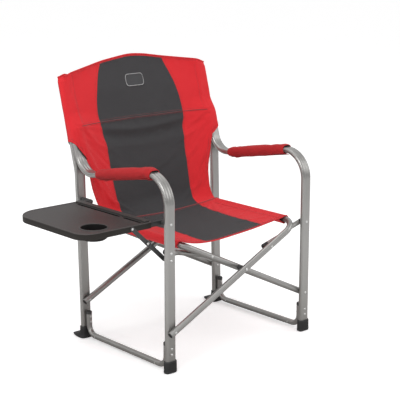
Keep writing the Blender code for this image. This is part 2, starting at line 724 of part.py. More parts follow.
def table_brace():
    """Two bars, in layers in front of the skirt."""
    half = 0.0068
    low_faces = (TABLE_Y[0] - 0.0045, TABLE_Y[0] - 0.0025)
    upper_faces = (TABLE_Y[0] - 0.0022, TABLE_Y[0] - 0.0002)
    foot, top = (HINGE_X, Z_HINGE - BRACE_DOWN), (PIN_X, Z_HINGE)
    span = math.hypot(BRACE_ALONG, BRACE_DOWN)
    low_length = (span + BRACE_ALONG - BRACE_DOWN) / 2   # folds flat when the table hangs
    middle = (foot[0] - BRACE_ALONG * low_length / span, foot[1] + BRACE_DOWN * low_length / span)
    lower = joint("brace_lower_joint", (foot[0], 0, foot[1]), root)
    upper = joint("brace_upper_joint", (top[0], 0, top[1]), table_joint)
    flat_bar("brace_lower", foot, middle, half, low_faces, lower, [foot, middle])
    flat_bar("brace_upper", top, middle, half, upper_faces, upper, [top])
    spacer("brace_spacer", LEG_BACK, low_faces[0], *foot, root, radius=0.0050)
    rivet("brace_foot_pin", LEG_FRONT, low_faces[1], *foot, root, back_head=False)
    rivet("brace_mid_rivet", *low_faces, *middle, lower, back_head=False)
    rivet("brace_top_pin", upper_faces[0], ARM_BARS["front"][1], *top, table_joint,
          front_head=False)


table_top()
table_arms()
table_hinge()
table_brace()

# ------------------------------------------------------------ seat, two padded halves
SEAT_Y = (-0.187, 0.150)
SEAT_UP, SEAT_DOWN = 0.006, 0.004   # faces above and below the rail centre
SEAT_SAG = 0.006          # at the chair centre
SLEEVE_R = 0.0116         # around the seat rail
CENTRE_X = 0.0004         # inner edge of each half of seat and back


def half_seat(name, side, parent, loop):
    top, bottom = [], []
    for x in np.linspace(CENTRE_X, RAIL_X, 7):
        sag = -SEAT_SAG * (1 - (x / RAIL_X) ** 2)
        top.append((side * x, Z_RAIL + SEAT_UP + sag))
        bottom.append((side * x, Z_RAIL - SEAT_DOWN + sag))
    section = top + bottom[::-1]
    seat = finish(name, skin([[(x, y, z) for x, z in section] for y in SEAT_Y]), GREY, parent)
    sleeve = skin([[(side * RAIL_X + a, y, Z_RAIL + b) for a, b in circle(SLEEVE_R, 14, 0.5)]
                   for y in SEAT_Y])
    add_boolean(seat, helper(f"{name}_sleeve", sleeve), "UNION")
    bore = loop_solid(loop, circle(CROSS_R + 0.0008))
    add_boolean(seat, helper(f"{name}_bore", bore))


half_seat("seat_left", -1, seat_l, "b")
half_seat("seat_right", 1, seat_r, "a")

# ------------------------------------------------------------ back, two padded halves
SLEEVE_LOW = 0.628        # sleeves start here
SLEEVE_TOP = 0.680        # the sleeve is deeper below this, around both tubes
ARCH_LOW, BACK_TOP = 0.80, 0.846   # the top edge is arched between these levels
BACK_LEVELS = (0.392, 0.45, 0.50, 0.546, 0.585, 0.612, SLEEVE_LOW, SLEEVE_TOP,
               SLEEVE_TOP + 0.008, 0.74, 0.79, 0.82, BACK_TOP)
# outer edge beside the seat, up to where the sleeves start
EDGE_Z = (0.39, 0.50, 0.546, 0.585, 0.612)
EDGE_X = (0.224, 0.232, 0.244, 0.254, 0.259)
PANEL_X = (CENTRE_X, 0.065, 0.130, 0.195)
PANEL_EDGE_X = 0.2560     # edge of the panel beside a sleeve
SLEEVE_X = (0.2615, 0.3035)
BACK_T = 0.010
BACK_FRONT = 0.0125       # panel face in front of the recline plane
HOLLOW = 0.010            # panel set back at the chair centre
SLEEVE_BACK = 0.0120      # sleeve faces off the recline plane
SLEEVE_FRONT, SLEEVE_FRONT_DEEP = 0.0120, 0.0290
ARCH_RISE, ARCH_HALF, ARCH_POWER = 0.034, 0.30, 1.8
CORNER_DROP, CORNER_X = 0.014, 0.27


def back_section(level):
    """Outline at one level: (x, y off the recline plane), front face then rear face."""
    in_sleeve = level >= SLEEVE_LOW
    edge = PANEL_EDGE_X if in_sleeve else float(np.interp(level, EDGE_Z, EDGE_X)) - 0.003
    front, rear = [], []
    for x in (*PANEL_X, edge):
        y = HOLLOW * max(0.0, 1 - (x / HALF_W) ** 2) - BACK_FRONT
        front.append((x, y))
        rear.append((x, y + BACK_T))
    if in_sleeve:
        depth = SLEEVE_FRONT_DEEP if level <= SLEEVE_TOP else SLEEVE_FRONT
        front += [(x, -depth) for x in SLEEVE_X]
        rear += [(x, SLEEVE_BACK) for x in SLEEVE_X]
    else:   # rounded outer edge
        front += [(edge + 0.0015, -0.0110), (edge + 0.003, -0.0105)]
        rear += [(edge + 0.0015, -0.0030), (edge + 0.003, -0.0035)]
    return front + rear[::-1]


def arched(x, level):
    """Height of a point: the top edge is arched, with dropped corners."""
    if level <= ARCH_LOW:
        return level
    rise = ARCH_RISE * (1 - (x / ARCH_HALF) ** ARCH_POWER)
    drop = CORNER_DROP * max(0.0, (x - CORNER_X) / (SLEEVE_X[1] - CORNER_X))
    return level + (level - ARCH_LOW) / (BACK_TOP - ARCH_LOW) * (rise - drop)


def half_back(name, side, parent):
    rings = []
    for level in BACK_LEVELS:
        ring = []
        for x, y in back_section(level):
            z = arched(x, level)
            ring.append((side * x, recline_y(z) + y, z))
        rings.append(ring)
    back = finish(name, skin(rings), RED, parent)

    tube_x = side * HALF_W
    post_bore = sweep_solid([(tube_x, post_y(z), z) for z in (0.56, POST_TOP_Z + 0.001)],
                            X_AXIS, oval(0.0012))
    add_boolean(back, helper(f"{name}_post_bore", post_bore))
    # the arm tube from within its rear bend, run on 1 mm past its end
    path = arm_path(tube_x)[11:]
    path[-1] = path[-1] + (path[-1] - path[-2]).normalized() * 0.001
    add_boolean(back, helper(f"{name}_arm_bore", sweep_solid(path, X_AXIS, oval(0.0013))))


half_back("back_left", -1, back_l)
half_back("back_right", 1, back_r)

# ------------------------------------------------------------ move onto the origin
for obj in bpy.data.objects:
    if obj.parent is None:
        obj.location -= Vector((*ORIGIN, 0))
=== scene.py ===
"""Looks of the folding director chair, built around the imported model.

Lengths are metres.  The pieces are laid out in chair coordinates (origin on the
floor midway between the legs) and moved to the frame's own origin by SHIFT.
"""
import json
import math

import bmesh
import bpy
import numpy as np
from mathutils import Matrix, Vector, noise
from mathutils.bvhtree import BVHTree

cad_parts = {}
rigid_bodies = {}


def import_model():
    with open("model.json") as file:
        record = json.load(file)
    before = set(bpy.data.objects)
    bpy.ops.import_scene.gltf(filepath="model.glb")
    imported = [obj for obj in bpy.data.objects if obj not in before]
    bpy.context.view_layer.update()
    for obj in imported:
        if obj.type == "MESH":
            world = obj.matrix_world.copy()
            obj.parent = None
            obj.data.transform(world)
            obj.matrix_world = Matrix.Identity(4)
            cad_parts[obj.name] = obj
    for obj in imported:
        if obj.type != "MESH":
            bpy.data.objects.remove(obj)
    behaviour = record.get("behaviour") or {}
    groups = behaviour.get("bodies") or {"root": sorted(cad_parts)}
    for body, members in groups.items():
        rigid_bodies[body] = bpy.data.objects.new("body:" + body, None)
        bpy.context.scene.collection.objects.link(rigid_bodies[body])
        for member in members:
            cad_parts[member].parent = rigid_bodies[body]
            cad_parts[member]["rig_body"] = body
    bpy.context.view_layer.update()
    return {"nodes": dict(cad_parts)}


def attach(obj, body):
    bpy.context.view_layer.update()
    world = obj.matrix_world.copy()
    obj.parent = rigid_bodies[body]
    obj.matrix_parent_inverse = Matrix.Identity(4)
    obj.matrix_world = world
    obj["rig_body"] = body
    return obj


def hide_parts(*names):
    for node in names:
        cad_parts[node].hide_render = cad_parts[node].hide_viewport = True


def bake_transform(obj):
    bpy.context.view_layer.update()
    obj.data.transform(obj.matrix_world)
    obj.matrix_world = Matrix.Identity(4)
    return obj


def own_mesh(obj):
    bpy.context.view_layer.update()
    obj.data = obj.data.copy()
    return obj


for old in list(bpy.data.objects):
    bpy.data.objects.remove(old, do_unlink=True)
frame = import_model()
body_of_node = {n: o["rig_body"] for n, o in frame["nodes"].items()}
SHIFT = Vector((0.12925, -0.04188, 0.0))
scene = bpy.context.scene

# ------------------------------------------------------------ dimensions of the frame
HALF_W, Y_FRONT, Y_REAR, LEAN = 0.283, -0.209, 0.209, 0.029
RECLINE, Z_RECLINE = math.radians(15.0), 0.540
TAN_R = math.tan(RECLINE)
TUBE_W, TUBE_T, WALL, CROSS_R, LINK_R, RAIL_R, GAP = 0.036, 0.016, 0.0013, 0.010, 0.008, 0.009, 0.0003
ARM_Z, ARM_Y, ARM_SLOPE, ARM_BEND, ARM_REAR_BEND, ARM_TOP_Z, POST_TOP_Z = 0.5915, -0.130, -0.180, 0.085, 0.070, 0.672, 0.824
Z_LOW, SLOPE, RAIL_X, LOOP_BEND, LINK_K, Z_LINK = 0.130, 0.486, 0.226, 0.055, 0.120, 0.366
THETA = math.atan(SLOPE)
Z_CROSS = Z_LOW + SLOPE * HALF_W
Z_SEAT = Z_LOW + SLOPE * (HALF_W + RAIL_X)
LINK_X, LINK_Z = LINK_K * math.cos(THETA), Z_CROSS + LINK_K * math.sin(THETA)
Z_HINGE, TABLE_TOP, TABLE_X, TABLE_Y, TABLE_CORNER = 0.452, 0.461, (-0.567, -0.322), (-0.180, 0.175), (0.050, 0.078)
SKIRT, CUP, CUP_R, CUP_FLOOR, BRACE_A, BRACE_B = 0.018, (-0.485, -0.118), 0.0375, 0.429, 0.114, 0.108


def post_y(z):
    return Y_REAR + LEAN * z if z < Z_RECLINE else Y_REAR + LEAN * Z_RECLINE + TAN_R * (z - Z_RECLINE)


def back_plane(z):
    return Y_REAR + LEAN * Z_RECLINE + TAN_R * (z - Z_RECLINE)


def arm_z(y):
    return ARM_Z + ARM_SLOPE * (y - ARM_Y)


POST_OFFSET = (TUBE_T + 0.0004) / math.cos(RECLINE)
A_FRONT, A_REAR = Y_FRONT - TUBE_T / 2 - GAP - CROSS_R, Y_REAR + LEAN * Z_LOW - TUBE_T / 2 - 0.0010 - CROSS_R
B_FRONT, B_REAR = Y_FRONT + TUBE_T / 2 + GAP + CROSS_R, Y_REAR + LEAN * Z_LOW + TUBE_T / 2 + 0.0032 + CROSS_R
LEG_FRONT, LEG_BACK = Y_FRONT - TUBE_T / 2, Y_FRONT + TUBE_T / 2
LINK_LEG_F, LINK_LEG_R = LEG_BACK + GAP + LINK_R, post_y(Z_LINK) + TUBE_T / 2 + 0.0019 + LINK_R
LINK_A_F, LINK_B_F = A_FRONT + CROSS_R + GAP + LINK_R, B_FRONT + CROSS_R + GAP + LINK_R
LINK_A_R, LINK_B_R = A_REAR + CROSS_R + GAP + LINK_R, B_REAR + CROSS_R + GAP + LINK_R
X_AXIS, Y_AXIS, Z_AXIS = Vector((1, 0, 0)), Vector((0, 1, 0)), Vector((0, 0, 1))
SIDES = ((-1, "left"), (1, "right"))


def smooth(a, b, x):
    t = min(max((x - a) / (b - a), 0.0), 1.0)
    return t * t * (3 - 2 * t)


# ------------------------------------------------------------ materials
class Nodes:
    """Short hand for building a shader."""

    def __init__(self, name):
        self.mat = bpy.data.materials.new(name)
        self.mat.use_nodes = True
        self.tree = self.mat.node_tree
        self.shader = self.tree.nodes["Principled BSDF"]

    def put(self, kind, inputs=None, **attrs):
        node = self.tree.nodes.new(kind)
        for key, value in attrs.items():
            setattr(node, key, value)
        for key, value in (inputs or {}).items():
            self.feed(node.inputs[key], value)
        return node

    def feed(self, socket, value):
        if isinstance(value, bpy.types.NodeSocket):
            self.tree.links.new(value, socket)
        else:
            socket.default_value = value

    def math(self, op, a, b=0.0, c=None, clamp=False):
        node = self.put("ShaderNodeMath", {0: a, 1: b}, operation=op, use_clamp=clamp)
        if c is not None:
            self.feed(node.inputs[2], c)
        return node.outputs[0]

    def noise(self, coord, scale, detail=3.0, rough=0.55):
        return self.put("ShaderNodeTexNoise", {"Vector": coord, "Scale": scale, "Detail": detail, "Roughness": rough}).outputs["Fac"]

    def ramp(self, value, stops):
        node = self.put("ShaderNodeValToRGB", {"Fac": value})
        ramp = node.color_ramp
        while len(ramp.elements) < len(stops):
            ramp.elements.new(0.5)
        for element, (at, colour) in zip(ramp.elements, stops):
            element.position = at
            element.color = (*colour, 1.0) if len(colour) == 3 else colour
        return node.outputs["Color"]

    def mix(self, fac, a, b, kind="MIX"):
        node = self.put("ShaderNodeMix", data_type="RGBA", blend_type=kind)
        for index, value in ((0, fac), (6, a), (7, b)):
            if isinstance(value, tuple) and len(value) == 3:
                value = (*value, 1.0)
            self.feed(node.inputs[index], value)
        return node.outputs[2]

    def bump(self, height, distance, strength=1.0, after=None):
        node = self.put("ShaderNodeBump", {"Height": height, "Distance": distance, "Strength": strength})
        if after is not None:
            self.feed(node.inputs["Normal"], after)
        return node.outputs["Normal"]

    def set(self, **values):
        for key, value in values.items():
            socket = self.shader.inputs[key.replace("_", " ")]
            if isinstance(value, tuple) and len(value) == 3:
                value = (*value, 1.0)
            self.feed(socket, value)
        return self.mat


def fabric(name, colour, shade, thread=0.0011, sheen=0.08):
    """Plain woven polyester: UV counts metres, one thread each way per cell."""
    n = Nodes(name)
    uv = n.put("ShaderNodeUVMap", uv_map="UVMap").outputs["UV"]
    obj = n.put("ShaderNodeTexCoord").outputs["Object"]
    part = n.put("ShaderNodeSeparateXYZ", {0: uv})
    u = n.math("DIVIDE", part.outputs[0], thread)
    v = n.math("DIVIDE", part.outputs[1], thread)
    su = n.math("ABSOLUTE", n.math("SINE", n.math("MULTIPLY", u, math.pi)))
    sv = n.math("ABSOLUTE", n.math("SINE", n.math("MULTIPLY", v, math.pi)))
    cell = n.math("ADD", n.math("FLOOR", u), n.math("FLOOR", v))
    over = n.math("FLOORED_MODULO", cell, 2.0)
    height = n.math("ADD", n.math("MULTIPLY", su, over), n.math("MULTIPLY", sv, n.math("SUBTRACT", 1.0, over)))
    broad = n.noise(uv, 9.0, 4.0)
    slub = n.put("ShaderNodeTexNoise", {"Vector": n.put("ShaderNodeMapping", {"Vector": uv, "Scale": (60.0, 900.0, 1.0)}).outputs[0],
                                        "Scale": 1.0, "Detail": 2.0}).outputs["Fac"]
    # painted shade and highlight of the weave: the colour darkens by the factor shade in the dips between threads and
    # lightens slightly on their crowns
    dark = tuple(c * shade for c in colour)
    light = tuple(min(1.0, c * 1.06 + 0.006) for c in colour)
    base = n.mix(height, dark, light)
    base = n.mix(n.math("MULTIPLY", n.math("SUBTRACT", broad, 0.35, clamp=True), 0.42), base, tuple(c * 0.78 for c in colour))
    base = n.mix(n.math("MULTIPLY", slub, 0.22), base, tuple(min(1.0, c * 1.18 + 0.01) for c in colour))
    crumple = n.noise(obj, 42.0, 4.0, 0.5)
    fuzz = n.noise(uv, 1400.0, 1.0)
    normal = n.bump(crumple, 0.0016, 0.55)
    normal = n.bump(height, 0.00022, 0.75, normal)
    normal = n.bump(fuzz, 0.0001, 0.5, normal)
    rough = n.math("ADD", 0.78, n.math("MULTIPLY", broad, 0.16))
    n.set(Base_Color=base, Roughness=rough, Normal=normal, Sheen_Weight=sheen, Sheen_Roughness=0.5, Specular_IOR_Level=0.14)
    return n.mat


def silver():
    n = Nodes("silver_paint")
    obj = n.put("ShaderNodeTexCoord").outputs["Object"]
    broad = n.noise(obj, 7.0, 3.0)
    flake = n.put("ShaderNodeTexVoronoi", {"Vector": obj, "Scale": 1700.0}).outputs["Distance"]
    grain = n.noise(obj, 420.0, 2.0)
    wear = n.put("ShaderNodeNewGeometry").outputs["Pointiness"]
    height = n.put("ShaderNodeSeparateXYZ", {0: obj}).outputs[2]
    base = n.mix(broad, (0.285, 0.279, 0.268), (0.345, 0.339, 0.328))
    base = n.mix(n.math("MULTIPLY", flake, 0.22), base, (0.50, 0.49, 0.48))
    edge = n.ramp(wear, ((0.52, (0, 0, 0)), (0.60, (1, 1, 1))))
    base = n.mix(n.math("MULTIPLY", edge, 0.25), base, (0.62, 0.61, 0.60))
    dust = n.math("MULTIPLY", n.math("SUBTRACT", 1.0, n.math("MULTIPLY", height, 7.0), clamp=True), n.noise(obj, 60.0, 4.0))
    base = n.mix(n.math("MULTIPLY", dust, 0.30), base, (0.30, 0.285, 0.26))
    rough = n.math("ADD", 0.27, n.math("MULTIPLY", grain, 0.13))
    normal = n.bump(grain, 0.00012, 0.35)
    normal = n.bump(flake, 0.00003, 0.5, normal)
    n.set(Base_Color=base, Metallic=0.82, Roughness=rough, Normal=normal, Coat_Weight=0.30, Coat_Roughness=0.22)
    return n.mat


def steel():
    n = Nodes("rivet_steel")
    obj = n.put("ShaderNodeTexCoord").outputs["Object"]
    scratch = n.noise(n.put("ShaderNodeMapping", {"Vector": obj, "Scale": (900.0, 120.0, 160.0)}).outputs[0], 3.0, 3.0)
    base = n.mix(n.noise(obj, 260.0), (0.62, 0.62, 0.61), (0.76, 0.76, 0.75))
    rough = n.math("ADD", 0.20, n.math("MULTIPLY", scratch, 0.20))
    n.set(Base_Color=base, Metallic=0.95, Roughness=rough, Normal=n.bump(scratch, 0.0001, 0.4))
    return n.mat


def plastic(name, low, high, rough0, rough1, grain_scale, depth, edge=(0.10, 0.10, 0.10), edge_mix=0.35, shine=0.42):
    n = Nodes(name)
    obj = n.put("ShaderNodeTexCoord").outputs["Object"]
    pebble = n.put("ShaderNodeTexVoronoi", {"Vector": obj, "Scale": grain_scale}, feature="SMOOTH_F1").outputs["Distance"]
    fine = n.noise(obj, grain_scale * 1.7, 3.0)
    broad = n.noise(obj, 11.0, 4.0)
    base = n.mix(broad, low, high)
    base = n.mix(n.math("MULTIPLY", pebble, 0.35), base, tuple(c * 1.55 for c in high))
    wear = n.ramp(n.put("ShaderNodeNewGeometry").outputs["Pointiness"], ((0.515, (0, 0, 0)), (0.585, (1, 1, 1))))
    base = n.mix(n.math("MULTIPLY", wear, edge_mix), base, edge)
    rough = n.math("ADD", rough0, n.math("MULTIPLY", fine, rough1 - rough0))
    height = n.math("ADD", pebble, n.math("MULTIPLY", fine, 0.6))
    n.set(Base_Color=base, Roughness=rough, Normal=n.bump(height, depth, 0.6), Specular_IOR_Level=shine)
    return n.mat


def thread(name, colour):
    n = Nodes(name)
    obj = n.put("ShaderNodeTexCoord").outputs["Object"]
    ply = n.put("ShaderNodeTexWave", {"Vector": obj, "Scale": 900.0, "Distortion": 1.5}, bands_direction="DIAGONAL").outputs["Fac"]
    base = n.mix(ply, tuple(c * 0.65 for c in colour), colour)
    n.set(Base_Color=base, Roughness=0.7, Normal=n.bump(ply, 0.0001, 0.6), Sheen_Weight=0.3)
    return n.mat


SILVER, STEEL = silver(), steel()
BLACK = plastic("black_plastic", (0.014, 0.014, 0.015), (0.023, 0.022, 0.022), 0.42, 0.62, 900.0, 0.00012, shine=0.30)
TABLE = plastic("table_plastic", (0.030, 0.025, 0.024), (0.038, 0.033, 0.032), 0.40, 0.60, 620.0, 0.00016, (0.10, 0.095, 0.09), 0.40)
# painted shade: a darker copy of the table plastic that paints shade on the skirt's side walls
TABLE_SHADED_SIDE = plastic("table_plastic_skirt_painted_shade", (0.0105, 0.0085, 0.0075), (0.0150, 0.0125, 0.0110), 0.48, 0.66, 620.0, 0.00016, (0.06, 0.055, 0.05), 0.35, 0.22)
# painted shade: a near-black copy of the table plastic for the cup's well, the slot walls and the channel under the
# slots
TABLE_PAINTED_SHADE = plastic("table_plastic_painted_shade", (0.0045, 0.0040, 0.0040), (0.0070, 0.0060, 0.0060), 0.55, 0.75, 620.0, 0.00016, (0.03, 0.03, 0.03), 0.2, 0.12)
BAR = plastic("bar_black", (0.016, 0.016, 0.017), (0.024, 0.024, 0.025), 0.32, 0.50, 1100.0, 0.00006, (0.16, 0.16, 0.16), 0.35)
RED = fabric("red_fabric", (0.680, 0.021, 0.028), 0.72)
RED_PAD = fabric("red_pad_fabric", (0.430, 0.016, 0.019), 0.72, sheen=0.05)
GREY = fabric("grey_fabric", (0.049, 0.0475, 0.050), 0.62, sheen=0.05)
RED_TRIM = fabric("red_binding", (0.600, 0.022, 0.028), 0.70, thread=0.0008)
RED_THREAD = thread("red_thread", (0.30, 0.020, 0.025))
DARK_THREAD = thread("dark_red_thread", (0.16, 0.018, 0.020))
GREY_THREAD = thread("grey_thread", (0.55, 0.55, 0.55))
PATCH = fabric("patch_weave", (0.066, 0.066, 0.069), 0.60, thread=0.0007, sheen=0.05)
# near-black for the insides of the sleeves: painted shade inside the back sleeves, and the foam at the armrest pads'
# ends
FOAM_AND_INNER_SHADE = plastic("foam_and_painted_inner_shade", (0.010, 0.009, 0.009), (0.018, 0.016, 0.016), 0.80, 0.95, 500.0, 0.0004)


# ------------------------------------------------------------ mesh code
def make(name, bm, mats, body=None, stands=(), sharp=38.0, weld=True):
    if weld:
        bmesh.ops.remove_doubles(bm, verts=bm.verts, dist=1e-6)
    bmesh.ops.recalc_face_normals(bm, faces=bm.faces)
    for v in bm.verts:
        v.co += SHIFT
    mesh = bpy.data.meshes.new(name)
    bm.to_mesh(mesh)
    bm.free()
    mesh.shade_smooth()
    if sharp:
        mesh.set_sharp_from_angle(angle=math.radians(sharp))
    for mat in mats if isinstance(mats, (list, tuple)) else [mats]:
        mesh.materials.append(mat)
    obj = bpy.data.objects.new(name, mesh)
    scene.collection.objects.link(obj)
    if body:
        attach(obj, body)
    if stands:
        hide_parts(*stands)
    return obj


def stand_in(node, bm, mats, sharp=38.0, name=None):
    return make(name or f"{node}_skin", bm, mats, body_of_node[node], (node,), sharp)


def circle(r, n=28):
    return [(r * math.cos(2 * math.pi * k / n), r * math.sin(2 * math.pi * k / n)) for k in range(n)]


def oval(w, t, n=12, m=11, groove=0.0):
    """Flat oval; the wide faces can sink in two shallow grooves."""
    r, c = t / 2, (w - t) / 2
    dip = lambda a: groove * math.sin(math.pi * min(abs(a) / c, 1.0)) ** 2
    pts = [(c + r * math.cos(a), r * math.sin(a)) for a in np.linspace(-math.pi / 2, math.pi / 2, n + 1)]
    pts += [(a, r - dip(a)) for a in np.linspace(c, -c, m + 2)[1:-1]]
    pts += [(-c + r * math.cos(a), r * math.sin(a)) for a in np.linspace(math.pi / 2, 3 * math.pi / 2, n + 1)]
    pts += [(a, -r + dip(a)) for a in np.linspace(-c, c, m + 2)[1:-1]]
    return pts


def fillet(points, radii, n=16):
    """Straight runs joined by arcs.  Returns the points and how far into a bend each one is."""
    pts = [Vector(p) for p in points]
    out, bend = [pts[0]], [0.0]
    for i, r in enumerate(radii, 1):
        a, b, c = pts[i - 1], pts[i], pts[i + 1]
        u, v = (a - b).normalized(), (c - b).normalized()
        angle = u.angle(v)
        reach = r / math.tan(angle / 2)
        centre = b + (u + v).normalized() * (r / math.sin(angle / 2))
        e1, e2 = (b + u * reach - centre) / r, (b + v * reach - centre) / r
        w = e1.angle(e2)
        for k in range(n + 1):
            s = k / n
            out.append(centre + (e1 * math.sin((1 - s) * w) + e2 * math.sin(s * w)) * (r / math.sin(w)))
            bend.append(math.sin(math.pi * s) ** 0.6 if 0 < s < 1 else 0.0)
    out.append(pts[-1])
    bend.append(0.0)
    return out, bend


def skin(rings, caps=True, mats=None):
    """Joins rings of points; UV counts metres round and along."""
    bm = bmesh.new()
    uv_layer = bm.loops.layers.uv.new("UVMap")
    loops = [[bm.verts.new(p) for p in ring] for ring in rings]
    n = len(rings[0])
    along = [0.0]
    for one, two in zip(rings, rings[1:]):
        along.append(along[-1] + (Vector(two[0]) - Vector(one[0])).length)
    around = []
    for ring in rings:
        total, row = 0.0, [0.0]
        for k in range(n):
            total += (Vector(ring[(k + 1) % n]) - Vector(ring[k])).length
            row.append(total)
        around.append(row)
    for i, (one, two) in enumerate(zip(loops, loops[1:])):
        for k in range(n):
            m = (k + 1) % n
            face = bm.faces.new((one[k], one[m], two[m], two[k]))
            for loop, (ii, kk) in zip(face.loops, ((i, k), (i, k + 1), (i + 1, k + 1), (i + 1, k))):
                loop[uv_layer].uv = (around[ii][kk], along[ii])
            if mats:
                face.material_index = mats[i]
    if caps:
        for ring, index in ((loops[0][::-1], 0), (loops[-1], -1)):
            face = bm.faces.new(ring)
            for loop in face.loops:
                loop[uv_layer].uv = (loop.vert.co.x, loop.vert.co.y)
            if mats:
                face.material_index = mats[index]
    return bm


def rings_of(path, ref, section):
    """section is one outline, or a function of the point's number."""
    path = [Vector(p) for p in path]
    ref = Vector(ref).normalized()
    out = []
    for i, p in enumerate(path):
        tangent = Vector()
        if i:
            tangent += (p - path[i - 1]).normalized()
        if i + 1 < len(path):
            tangent += (path[i + 1] - p).normalized()
        tangent.normalize()
        side = tangent.cross(ref).normalized()
        outline = section(i) if callable(section) else section
        out.append([p + ref * a + side * b for a, b in outline])
    return out


def rounded_ends(path, r, steps=3):
    """Extra points and scales that round the ends of a bar of radius r over r * 0.35."""
    path = [Vector(p) for p in path]
    d0, d1 = (path[0] - path[1]).normalized(), (path[-1] - path[-2]).normalized()
    reach = r * 0.35
    head, tail, s0, s1 = [], [], [], []
    for k in range(steps):
        a = math.pi / 2 * k / steps
        head.append(path[0] + d0 * (reach * (math.cos(a) - 1)))
        s0.append(1 - 0.35 * (1 - math.sin(a)))
        tail.append(path[-1] + d1 * (reach * (math.cos(a) - 1)))
        s1.append(1 - 0.35 * (1 - math.sin(a)))
    first, last = path[0] - d0 * reach, path[-1] - d1 * reach
    return head + [first] + path[1:-1] + [last] + tail[::-1], s0 + [1.0] * len(path) + s1[::-1]


def lathe(profile, at, axis, n=26):
    axis = Vector(axis).normalized()
    u = axis.orthogonal().normalized()
    v = axis.cross(u)
    at = Vector(at)
    return skin([[at + axis * d + (u * math.cos(t) + v * math.sin(t)) * r for t in (2 * math.pi * k / n for k in range(n))]
                 for d, r in profile])


def add_to(bm, other, mat=None):
    """Adds other's faces to bm."""
    if mat is not None:
        for face in other.faces:
            face.material_index = mat
    bmesh.ops.recalc_face_normals(other, faces=other.faces)
    mesh = bpy.data.meshes.new("tmp")
    other.to_mesh(mesh)
    other.free()
    bm.from_mesh(mesh)
    bpy.data.meshes.remove(mesh)


def helper(name, bm):
    bmesh.ops.remove_doubles(bm, verts=bm.verts, dist=1e-6)
    bmesh.ops.recalc_face_normals(bm, faces=bm.faces)
    mesh = bpy.data.meshes.new(name)
    bm.to_mesh(mesh)
    bm.free()
    obj = bpy.data.objects.new(name, mesh)
    scene.collection.objects.link(obj)
    return obj


def carved(bm, steps):
    """Applies Booleans (operation, bmesh) to bm and returns the result."""
    base = helper("carve_base", bm)
    helpers = [base]
    for i, (operation, other) in enumerate(steps):
        cutter = helper(f"carve_{i}", other)
        helpers.append(cutter)
        mod = base.modifiers.new("b", "BOOLEAN")
        mod.operation, mod.solver, mod.object = operation, "EXACT", cutter
    bpy.context.view_layer.update()
    mesh = bpy.data.meshes.new_from_object(base.evaluated_get(bpy.context.evaluated_depsgraph_get()))
    out = bmesh.new()
    out.from_mesh(mesh)
    for obj in helpers:
        bpy.data.objects.remove(obj, do_unlink=True)
    bpy.data.meshes.remove(mesh)
    return out


# ------------------------------------------------------------ metal
def arm_corners(x):
    y_base = Y_REAR + LEAN * Z_RECLINE - POST_OFFSET
    y = (y_base + TAN_R * (ARM_Z - ARM_SLOPE * ARM_Y - Z_RECLINE)) / (1 - TAN_R * ARM_SLOPE)
    return [(x, Y_FRONT, 0.010), (x, Y_FRONT, arm_z(Y_FRONT)), (x, y, arm_z(y)), (x, y_base + TAN_R * (ARM_TOP_Z - Z_RECLINE), ARM_TOP_Z)]


RAIL_Z, RAIL_TOP, Z_RIVET = 0.0145, 0.089, 0.074
RAIL_YF, RAIL_YR = LEG_BACK + GAP + RAIL_R, post_y(RAIL_TOP) - TUBE_T / 2 - 0.0025 - RAIL_R


def rivet_bm(y0, y1, x, z, head=0.0043, shank=0.0028, front=True, back=True):
    profile = []
    if front:
        profile += [(-0.0023, 0.0008), (-0.00215, head * 0.42), (-0.0017, head * 0.70), (-0.0010, head * 0.90), (-0.0003, head), (-0.0001, head * 0.98), (-0.0001, shank)]
    else:
        profile += [(0.0, shank)]
    length = y1 - y0
    if back:
        profile += [(length + 0.0001, shank), (length + 0.0001, head * 0.82), (length + 0.0008, head * 0.84), (length + 0.0016, head * 0.60), (length + 0.0019, head * 0.2)]
    else:
        profile += [(length, shank)]
    return lathe(profile, (x, y0, z), Y_AXIS, 22)


def rivet(node, y0, y1, x, z, head=0.0043, mat=None, **kw):
    return stand_in(node, rivet_bm(y0, y1, x, z, head, **kw), mat or STEEL)


